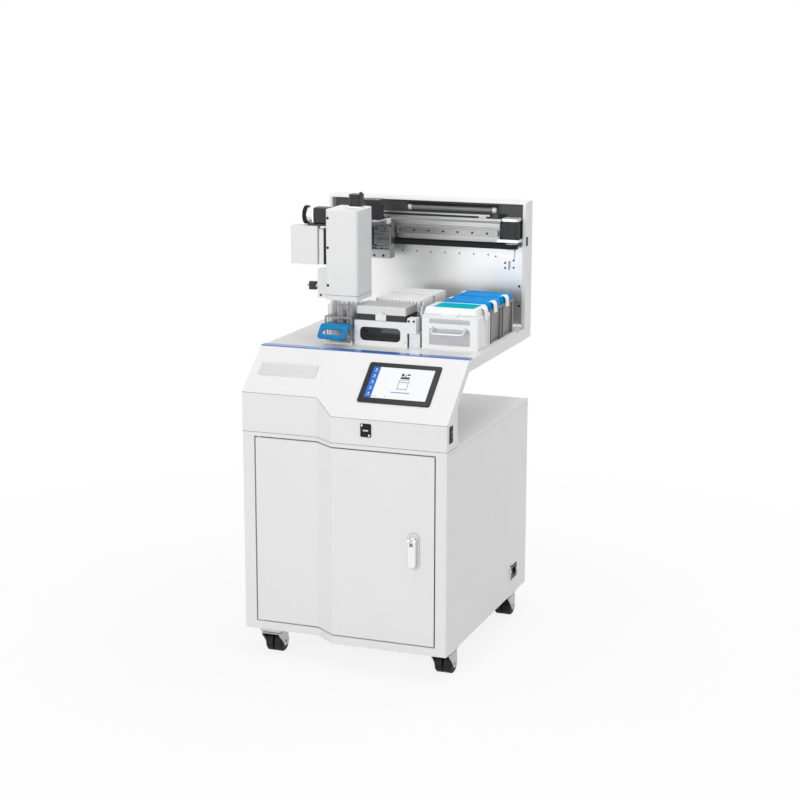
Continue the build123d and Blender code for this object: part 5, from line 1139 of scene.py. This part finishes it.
white_coat.cover("head_cover")

SOLENOID_RIGHT_X = -160.9


def part_dark_coat(name, dark_mask_of, dark):
    """White powder coat that turns dark where the mask is 1."""
    coat = powder_coat(name, *greys(0.83, 0.80))
    mask = dark_mask_of(coat)
    white = coat.blend(coat.grain(7.0, 4.0), *greys(0.83, 0.80))
    coat.set("Base Color", coat.blend(mask, white, dark))
    return coat


part_dark_coat(
    "head_frame_coat",
    lambda coat: coat.axis("X") < SOLENOID_RIGHT_X * MM,
    (0.016, 0.016, 0.018),
).cover("head_frame")

# Dark edge of the valve box beside the arm, and the dark bridge plate on top of it
box_high = corners_of("valve_box")[1]
DARK_EDGE_X = -148.8
BRIDGE_THICK = 4.5
BRIDGE_FOOT_Z = box_high.z - BRIDGE_THICK + 0.1
part_dark_coat(
    "valve_box_coat",
    lambda coat: (
        (coat.axis("X") > DARK_EDGE_X * MM) + (coat.axis("Z") > BRIDGE_FOOT_Z * MM)
    ).clamp(),
    (0.018, 0.018, 0.020),
).cover("valve_box")

z_motor_foot = corners_of("z_motor")[0].z + 3.0
motor_finish("z_motor_finish", lambda m: m.axis("Z") < z_motor_foot * MM).cover("z_motor")
PUMP_LEFT_X = -161.5
motor_finish("pump_motor_finish", lambda m: m.axis("X") < PUMP_LEFT_X * MM, "X").cover("pump_motor")

head_low, head_high = corners_of("head_cover")
COVER_SCREW_X = -120.6
front_screws(
    "head_cover_screws",
    [(COVER_SCREW_X, head_low.y, z) for z in (1025.9, 956.0, 866.6)],
    3.2,
    "head",
)
# Grey joint between the folded cover and its bottom plate
JOINT_Z = 843.0
joint_corners = [
    Vector((x, y, JOINT_Z + 0.8)) * MM
    for x, y in (
        (head_low.x, head_low.y),
        (head_high.x, head_low.y),
        (head_high.x, head_high.y),
        (head_low.x, head_high.y),
    )
]
joint = bmesh.new()
for start, end in zip(joint_corners, joint_corners[1:] + joint_corners[:1]):
    bar_between(joint, start, end, 0.7)
joint_grey = powder_coat("joint_grey", *greys(0.30, 0.38), 0.2)
new_piece("head_cover_joint", joint, joint_grey, "head")

SIDE_PLATE_FACE_Y = -52.0
front_screws("side_plate_screw", [(-148.8, SIDE_PLATE_FACE_Y, 838.5)], 2.6, "head")

# ---------------------------------------------------------------------------
# Sample rack. Blue-anodised holder and pull handle on a steel base, with twelve
# clear tubes of sample.
# ---------------------------------------------------------------------------

rack_blue = Finish("blue_anodised", 0.3, 0.35, shine=0.3)
dye = rack_blue.grain(35.0, 3.0)
rack_blue.mottle(dye, (0.0, 0.16, 0.42), (0.0, 0.24, 0.54), 0.16, 0.22)
rack_blue.bump(rack_blue.grain(900.0), 0.02 * MM)
rack_blue.cover("rack_handle")

RACK_BASE_TOP_Z = 737.0
rack_steel = machined(
    "rack_frame_steel", (0.36, 0.35, 0.34), (0.22, 0.21, 0.205), 0.34, (1.0, 1.0, 0.05)
)
rack_base = rack_steel.axis("Z") < RACK_BASE_TOP_Z * MM
rack_brush = rack_steel.grain(500.0, 3.0, (1.0, 1.0, 0.05))
rack_tone = rack_steel.blend(rack_brush, (0.36, 0.35, 0.34), (0.22, 0.21, 0.205))
rack_steel.set("Base Color", rack_steel.blend(rack_base, rack_tone, (0.78, 0.78, 0.77)))
rack_steel.set("Metallic", (1.0 - rack_base) * 0.7)
rack_steel.cover("rack_frame")

tube_clear = Finish("clear_tube", 0.05, shine=0.4)
rim_light = tube_clear.node("ShaderNodeLayerWeight", inputs={"Blend": 0.5}, output="Facing")
clear_tint = tube_clear.blend(tube_clear.grain(40.0), (0.90, 0.91, 0.92), (0.84, 0.86, 0.88))
tube_clear.set(
    "Base Color", tube_clear.blend(rim_light * rim_light, clear_tint, (0.42, 0.44, 0.47))
)
tube_clear.set("Alpha", rim_light * rim_light * 0.75 + 0.12)
tube_clear.cover("sample_tubes")

# ---------------------------------------------------------------------------
# Heating and shaking module. A white box with a smoked window, a black shelf with a
# bright latch, and a thick alloy block on top; the drive column stands beside it.
# ---------------------------------------------------------------------------

MODULE_TOP_Z = 787.0
MODULE_RIGHT_X = 76.0
SHELF_TOP_Z = 802.0
LATCH_Y = -62.3
COLUMN_TOP_Z = 761.5
BLOCK_BACK_Y = -40.5
STAND_FRONT_Y = 33.5
module_paint = powder_coat("module_paint", *greys(0.90, 0.86))
across = module_paint.axis("X")
depth = module_paint.axis("Y")
height = module_paint.axis("Z")
shelf_mask = (height > MODULE_TOP_Z * MM) * (height < SHELF_TOP_Z * MM) * (depth > LATCH_Y * MM)
shelf_mask = shelf_mask * (across < (MODULE_RIGHT_X - 4.0) * MM)
block_mask = (height > COLUMN_TOP_Z * MM) * (depth < BLOCK_BACK_Y * MM)
column_mask = (across > (MODULE_RIGHT_X + 0.5) * MM) * (1.0 - block_mask)
metal_mask = (column_mask + (depth > STAND_FRONT_Y * MM)).clamp()
paint_clouds = module_paint.grain(9.0, 3.0)
module_white = module_paint.blend(paint_clouds, *greys(0.90, 0.86))
module_metal = module_paint.blend(paint_clouds, (0.62, 0.63, 0.65), (0.50, 0.51, 0.53))
two_tone = module_paint.blend(metal_mask, module_white, module_metal)
module_paint.set("Base Color", module_paint.blend(shelf_mask, two_tone, (0.016, 0.016, 0.018)))
module_paint.set("Metallic", metal_mask * 0.8)
module_paint.cover("module_housing")

slab_alloy = machined("bead_blasted_slab", *greys(0.66, 0.56), 0.45, (1.0, 1.0, 1.0), 900.0)
slab_alloy.set("Metallic", 0.45)
slab_alloy.cover("module_slab")

WINDOW_MIDDLE = (8.0, 755.5)
PANE_SIZE = (101.6, 32.6)
PANE_CORNER = 10.8
PANE_Y = -64.2
pane = bmesh.new()
pane_plane = facing((0, -1, 0), (WINDOW_MIDDLE[0], PANE_Y, WINDOW_MIDDLE[1]))
eased_plate(pane, pane_plane, PANE_SIZE, PANE_CORNER, (0.0, 1.0, 1.3), 1.2, PANE_CORNER - 0.6, 8)
smoked = Finish("smoked_window", 0.08, shine=0.25)
streaks = smoked.grain(5.0, 2.0, (1.0, 1.0, 2.6))
smoked.mottle(streaks, (0.006, 0.007, 0.008), (0.035, 0.04, 0.042), 0.12, 0.04)
new_piece("module_window", pane, smoked, "stand")

MODULE_FACE_Y = -67.0
front_screws(
    "module_face_screws",
    [(x, MODULE_FACE_Y, z) for x in (-53.4, 71.0) for z in (772.6, 756.0, 740.0)],
    1.7,
    "stand",
    zinc,
)
front_screws(
    "drive_cover_screws",
    [(79.8, MODULE_FACE_Y, 791.4), (92.6, MODULE_FACE_Y, 791.4)],
    2.8,
    "stand",
)

# ---------------------------------------------------------------------------
# Deep-well plates. Natural white polypropylene, ribbed round the wells, each closed
# by a heat-sealed film that dips a little over its 96 wells.
# ---------------------------------------------------------------------------

WELL_PITCH = 9.0 * MM
FILM_THICK = 0.4
labware_white = moulded("natural_white_plastic", *greys(0.97, 0.94), 0.42)
film = Finish("heat_sealed_film", 0.32)
film_dips = [
    film.axis(name).maths("COSINE", film.axis(name) * (math.tau / WELL_PITCH))
    for name in ("X", "Y")
]
film_wrinkles = film.grain(60.0, 4.0)
film.mottle(film_wrinkles, (0.98, 0.98, 0.98), (0.94, 0.94, 0.945), 0.2, 0.22)
film.bump(film_dips[0] * film_dips[1] * 0.6 + film_wrinkles, 0.15 * MM)
for plate_name in ("front", "rear"):
    node_name = "deep_well_plate_" + plate_name
    labware_white.cover(node_name)
    plate_low, plate_high = corners_of(node_name)
    plate_middle = (plate_low + plate_high) / 2
    sheet = bmesh.new()
    span = plate_high - plate_low
    sheet_size = (span.x - 10.0, span.y - 9.0)
    sheet_plane = facing((0, 0, 1), (plate_middle.x, plate_middle.y, plate_high.z))
    sheet_heights = (-0.1, 0.5 * FILM_THICK, FILM_THICK)
    eased_plate(sheet, sheet_plane, sheet_size, 3.0, sheet_heights, 2.0, 2.4, 4)
    new_piece("sealing_film_" + plate_name, sheet, film, "plate_" + plate_name)
    # Rounded backs of the outer wells, seen as ribs round the plate's sides
    wells = bmesh.new()
    well_height = span.z - 9.0
    well = [(3.2, 0.0), (3.9, 2.0), (3.9, well_height), (3.0, well_height + 1.5)]
    columns = [plate_middle.x + (column - 5.5) * WELL_PITCH / MM for column in range(12)]
    rows = [plate_middle.y + (row - 3.5) * WELL_PITCH / MM for row in range(8)]
    spots = [(x, y) for x in columns for y in (plate_low.y + 5.0, plate_high.y - 5.0)]
    spots += [(x, y) for y in rows for x in (plate_low.x + 5.0, plate_high.x - 5.0)]
    for x, y in spots:
        lathe(wells, facing((0, 0, 1), (x, y, plate_low.z + 5.0)), well, 14)
    new_piece(
        "outer_wells_" + plate_name, wells, labware_white, "plate_" + plate_name
    )

# ---------------------------------------------------------------------------
# Pull-out bin. A white moulded drawer with two sunk panels behind its front frame, a
# bent round-bar grip, and a white lid with a teal pad.
# ---------------------------------------------------------------------------

bin_low, bin_high = corners_of("tip_bin")
BIN_FACE_Y = -65.0
BIN_BACK_Y = 28.0
bin_white = moulded("bin_white_plastic", *greys(0.95, 0.91), 0.36)
grip_mask = bin_white.axis("Y") < (BIN_FACE_Y - 0.4) * MM
bin_patches = bin_white.grain(18.0, 3.0)
bin_base = bin_white.blend(bin_patches, *greys(0.95, 0.91))
bin_white.set("Base Color", bin_white.blend(grip_mask, bin_base, (0.66, 0.67, 0.69)))
bin_white.set("Metallic", grip_mask * 0.6)
bin_white.cover("tip_bin")

BOX_MIDDLE_X = 180.5
SUNK_PANELS = (((BOX_MIDDLE_X, 796.0), (99.4, 10.4)), ((BOX_MIDDLE_X, 759.0), (99.4, 38.4)))
SUNK_FACE_Y = -62.2
sunk = bmesh.new()
for (panel_x, panel_z), size in SUNK_PANELS:
    panel_plane = facing((0, -1, 0), (panel_x, SUNK_FACE_Y, panel_z))
    eased_plate(sunk, panel_plane, size, 2.8, (-0.6, 0.5, 0.9), 3.0, 1.6, 4)
sunk_grey = moulded("frosted_grey_panel", (0.60, 0.61, 0.62), (0.50, 0.51, 0.52), 0.3)
new_piece("bin_sunk_panels", sunk, sunk_grey, "bin")

BIN_LID_SPAN = (-61.5, 26.0)
BIN_LID_EDGES_X = (114.5, 246.5)
LID_BASE_Z = 808.0
BIN_LID_TOP_Z = 827.0
lid_white = moulded("bin_lid_white", *greys(0.96, 0.93), 0.36)


def lid_form(shape, edges_x, span_y, base_z, top_z, shoulder, well=None, sink=0.0):
    """Moulded lid: an upright skirt, a sloped shoulder, and a sunk well in its top."""
    middle = ((edges_x[0] + edges_x[1]) / 2, (span_y[0] + span_y[1]) / 2)
    width, depth = edges_x[1] - edges_x[0], span_y[1] - span_y[0]
    rise = top_z - base_z
    loops = [
        (rounded_outline(width, depth, 6.0), 0.0),
        (rounded_outline(width, depth, 6.0), rise * 0.3),
        (rounded_outline(width - shoulder * 0.9, depth - shoulder * 0.9, 7.0), rise * 0.8),
        (rounded_outline(width - shoulder * 1.4, depth - shoulder * 1.4, 7.0), rise * 0.95),
        (rounded_outline(width - shoulder * 2.0, depth - shoulder * 2.0, 7.0), rise),
    ]
    if well:
        loops.append((rounded_outline(*well, 4.0), rise))
        loops.append((rounded_outline(well[0] - 2.0, well[1] - 2.0, 3.0), rise - sink))
    stack_loops(shape, facing((0, 0, 1), (*middle, base_z)), loops)
    return middle


bin_cover = bmesh.new()
bin_cover_middle = lid_form(
    bin_cover, BIN_LID_EDGES_X, BIN_LID_SPAN, LID_BASE_Z, BIN_LID_TOP_Z, 5.0, (108.0, 66.0), 3.0
)
# Lip round the lid's foot, and the finger tab that tapers down over the frame
lip = rounded_outline(133.6, 89.0, 6.0)
stack_loops(bin_cover, facing((0, 0, 1), (*bin_cover_middle, LID_BASE_Z)), [(lip, 0.2), (lip, 2.4)])
TAB_Y = -65.2
tab = [(-14.0, -4.0), (14.0, -4.0), (24.0, 6.0), (24.0, 8.0), (-24.0, 8.0), (-24.0, 6.0)]
tab_up = Matrix((Vector((1, 0, 0)), Vector((0, 0, 1)), Vector((0, -1, 0)))).transposed().to_4x4()
tab_plane = Matrix.Translation(Vector((BOX_MIDDLE_X, TAB_Y, LID_BASE_Z)) * MM) @ tab_up
stack_loops(
    bin_cover,
    tab_plane,
    [(tab, -6.0), (tab, 1.4), ([(0.95 * x, 0.9 * z + 0.3) for x, z in tab], 2.2)],
)
lid_piece = new_piece("bin_cover_shell", bin_cover, lid_white, "bin_cover")
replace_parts(lid_piece, "bin_lid")

# Shadow line under the lid's lip, left and right of the tab
lip_shadow = powder_coat("lip_shadow_grey", *greys(0.40, 0.48), 0.2)
shadow = bmesh.new()
for start, end in ((118.0, 155.0), (206.0, 243.0)):
    low = Vector((start, BIN_LID_SPAN[0] - 0.9, LID_BASE_Z + 3.0)) * MM
    bar_between(shadow, low, Vector((end * MM, low.y, low.z)), 0.5)
new_piece("bin_lip_line", shadow, lip_shadow, "bin_cover")

PAD_SIZE = (100.0, 56.0)
PAD_SHIFT = (4.0, 1.0)
PAD_TOP_Z = BIN_LID_TOP_Z - 2.0
teal = moulded("teal_silicone", (0.0, 0.44, 0.52), (0.0, 0.50, 0.58), 0.6, 0.02)
pad = bmesh.new()
pad_place = (bin_cover_middle[0] + PAD_SHIFT[0], bin_cover_middle[1] + PAD_SHIFT[1])
pad_plane = facing((0, 0, 1), (*pad_place, PAD_TOP_Z))
eased_plate(pad, pad_plane, PAD_SIZE, 3.0, (-2.0, 2.0, 2.6), 1.4, 2.4, 5)
for rib in (-1.5, -0.5, 0.5, 1.5):
    rib_outline = rounded_outline(PAD_SIZE[0] - 26.0, 2.2, 1.0, 3)
    rib_plane = pad_plane @ Matrix.Translation((0.0, rib * 12.0 * MM, 0.0))
    stack_loops(pad, rib_plane, [(rib_outline, 2.4), (rib_outline, 3.1)])
new_piece("teal_pad", pad, teal, "bin_cover")

# Frame round the bin's mouth, and upright ribs down its right side
RIB_FOOT_Z = 735.0
bin_trim = bmesh.new()
rim_outer = rounded_outline(bin_high.x - bin_low.x + 1.0, BIN_BACK_Y - BIN_FACE_Y + 1.0, 5.0)
rim_inner = rounded_outline(bin_high.x - bin_low.x - 1.0, BIN_BACK_Y - BIN_FACE_Y - 1.0, 4.0)
rim_middle = ((bin_low.x + bin_high.x) / 2, (BIN_FACE_Y + BIN_BACK_Y) / 2)
stack_loops(
    bin_trim,
    facing((0, 0, 1), (*rim_middle, LID_BASE_Z - 4.0)),
    [(rim_inner, -0.6), (rim_outer, 0.2), (rim_outer, 3.2), (rim_inner, 3.9)],
)
for rib_y in (-58.0, -42.0, 2.0, 20.0):
    rib_size = (3.0, LID_BASE_Z - 5.0 - RIB_FOOT_Z)
    rib_plane = facing((1, 0, 0), (bin_high.x - 0.4, rib_y, RIB_FOOT_Z + rib_size[1] / 2))
    eased_plate(bin_trim, rib_plane, rib_size, 1.0, (0.0, 1.5, 2.0), 1.0, 0.8)
new_piece("bin_trim", bin_trim, bin_white, "bin")

# ---------------------------------------------------------------------------
# Tip boxes. Grey moulded boxes with translucent blue lids. White moulded clips lie on
# the lids and turn down over their edges; a third one holds the bin's lid.
# ---------------------------------------------------------------------------

box_grey = moulded("tip_box_grey", *greys(0.27, 0.21), 0.4, 0.25)
box_grey.cover("tip_box_middle", "tip_box_rear")
lid_blue = Finish("translucent_blue_lid", 0.4, shine=0.04)
lid_depth = lid_blue.grain(14.0, 3.0)
lid_blue.mottle(lid_depth, (0.0, 0.28, 0.72), (0.0, 0.34, 0.80), 0.16, 0.32)
lid_blue.bump(lid_blue.grain(60.0, 2.0), 0.15 * MM)

CLIP_WIDTH = 24.0
CLIP_THICK = 1.0


def spring_clip(name, body, edge_x, middle_y, top_z, drop, way=1):
    """Bent strip that lies on the lid, turns over its edge and ends in a curled foot."""
    front_y = middle_y - CLIP_WIDTH / 2
    line = [
        (-11.0, 0.4),
        (-5.0, 0.5),
        (-1.6, -2.0),
        (0.5, -7.0),
        (0.6, -drop * 0.6),
        (1.0, -drop * 0.9),
        (2.4, -drop),
    ]
    shape = bmesh.new()
    rows = []
    for step, (out, down) in enumerate(line):
        ahead = Vector(line[min(step + 1, len(line) - 1)]) - Vector(line[max(step - 1, 0)])
        side = Vector((-ahead.y, ahead.x)).normalized() * CLIP_THICK
        for off in (Vector((0, 0)), side):
            x, z = edge_x + way * (out + off.x), top_z + down + off.y
            ends = [Vector((x, front_y + width, z)) * MM for width in (0.0, CLIP_WIDTH)]
            rows.append([shape.verts.new(end) for end in ends])
    lower = rows[0::2]
    upper = rows[1::2]
    for step in range(len(line) - 1):
        shape.faces.new((lower[step][0], lower[step + 1][0], lower[step + 1][1], lower[step][1]))
        shape.faces.new((upper[step][0], upper[step][1], upper[step + 1][1], upper[step + 1][0]))
        for end in (0, 1):
            shape.faces.new(
                (lower[step][end], upper[step][end], upper[step + 1][end], lower[step + 1][end])
            )
    for step in (0, len(line) - 1):
        shape.faces.new((lower[step][0], lower[step][1], upper[step][1], upper[step][0]))
    new_piece(name, shape, lid_white, body)


for box_name in ("middle", "rear"):
    top_low, top_high = corners_of("tip_box_lid_" + box_name)
    cover = bmesh.new()
    cover_edges = (top_low.x + 17.0, top_high.x - 6.0)
    lid_form(
        cover,
        cover_edges,
        (top_low.y + 1.5, top_high.y - 1.5),
        top_low.z,
        top_high.z - 0.8,
        4.0,
        (cover_edges[1] - cover_edges[0] - 20.0, top_high.y - top_low.y - 24.0),
        1.6,
    )
    cover_piece = new_piece(
        "tip_cover_" + box_name, cover, lid_blue, f"tips_{box_name}_cover"
    )
    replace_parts(cover_piece, "tip_box_lid_" + box_name)
    spring_clip(
        "spring_clip_" + box_name,
        f"tips_{box_name}_cover",
        top_high.x - 2.4,
        (top_low.y + top_high.y) / 2 - 16.0,
        top_high.z,
        25.0,
    )
    # Long low ribs on the lid's flat top
    ribs = bmesh.new()
    rib_middle = (sum(cover_edges) / 2, (top_low.y + top_high.y) / 2)
    for across_y in (-20.0, -7.0, 7.0, 20.0):
        rib_plane = facing((0, 0, 1), (rib_middle[0], rib_middle[1] + across_y, top_high.z - 2.4))
        eased_plate(ribs, rib_plane, (84.0, 3.0), 1.4, (-0.3, 0.3, 0.7), 1.2, 0.8, 4)
    new_piece("lid_ribs_" + box_name, ribs, lid_blue, f"tips_{box_name}_cover")
    spring_clip(
        "left_clip_" + box_name,
        f"tips_{box_name}_cover",
        cover_edges[0] - 0.4,
        (top_low.y + top_high.y) / 2,
        top_high.z,
        14.0,
        -1,
    )
spring_clip("spring_clip_bin", "bin_cover", bin_high.x + 0.9, -10.0, BIN_LID_TOP_Z - 3.0, 27.0)
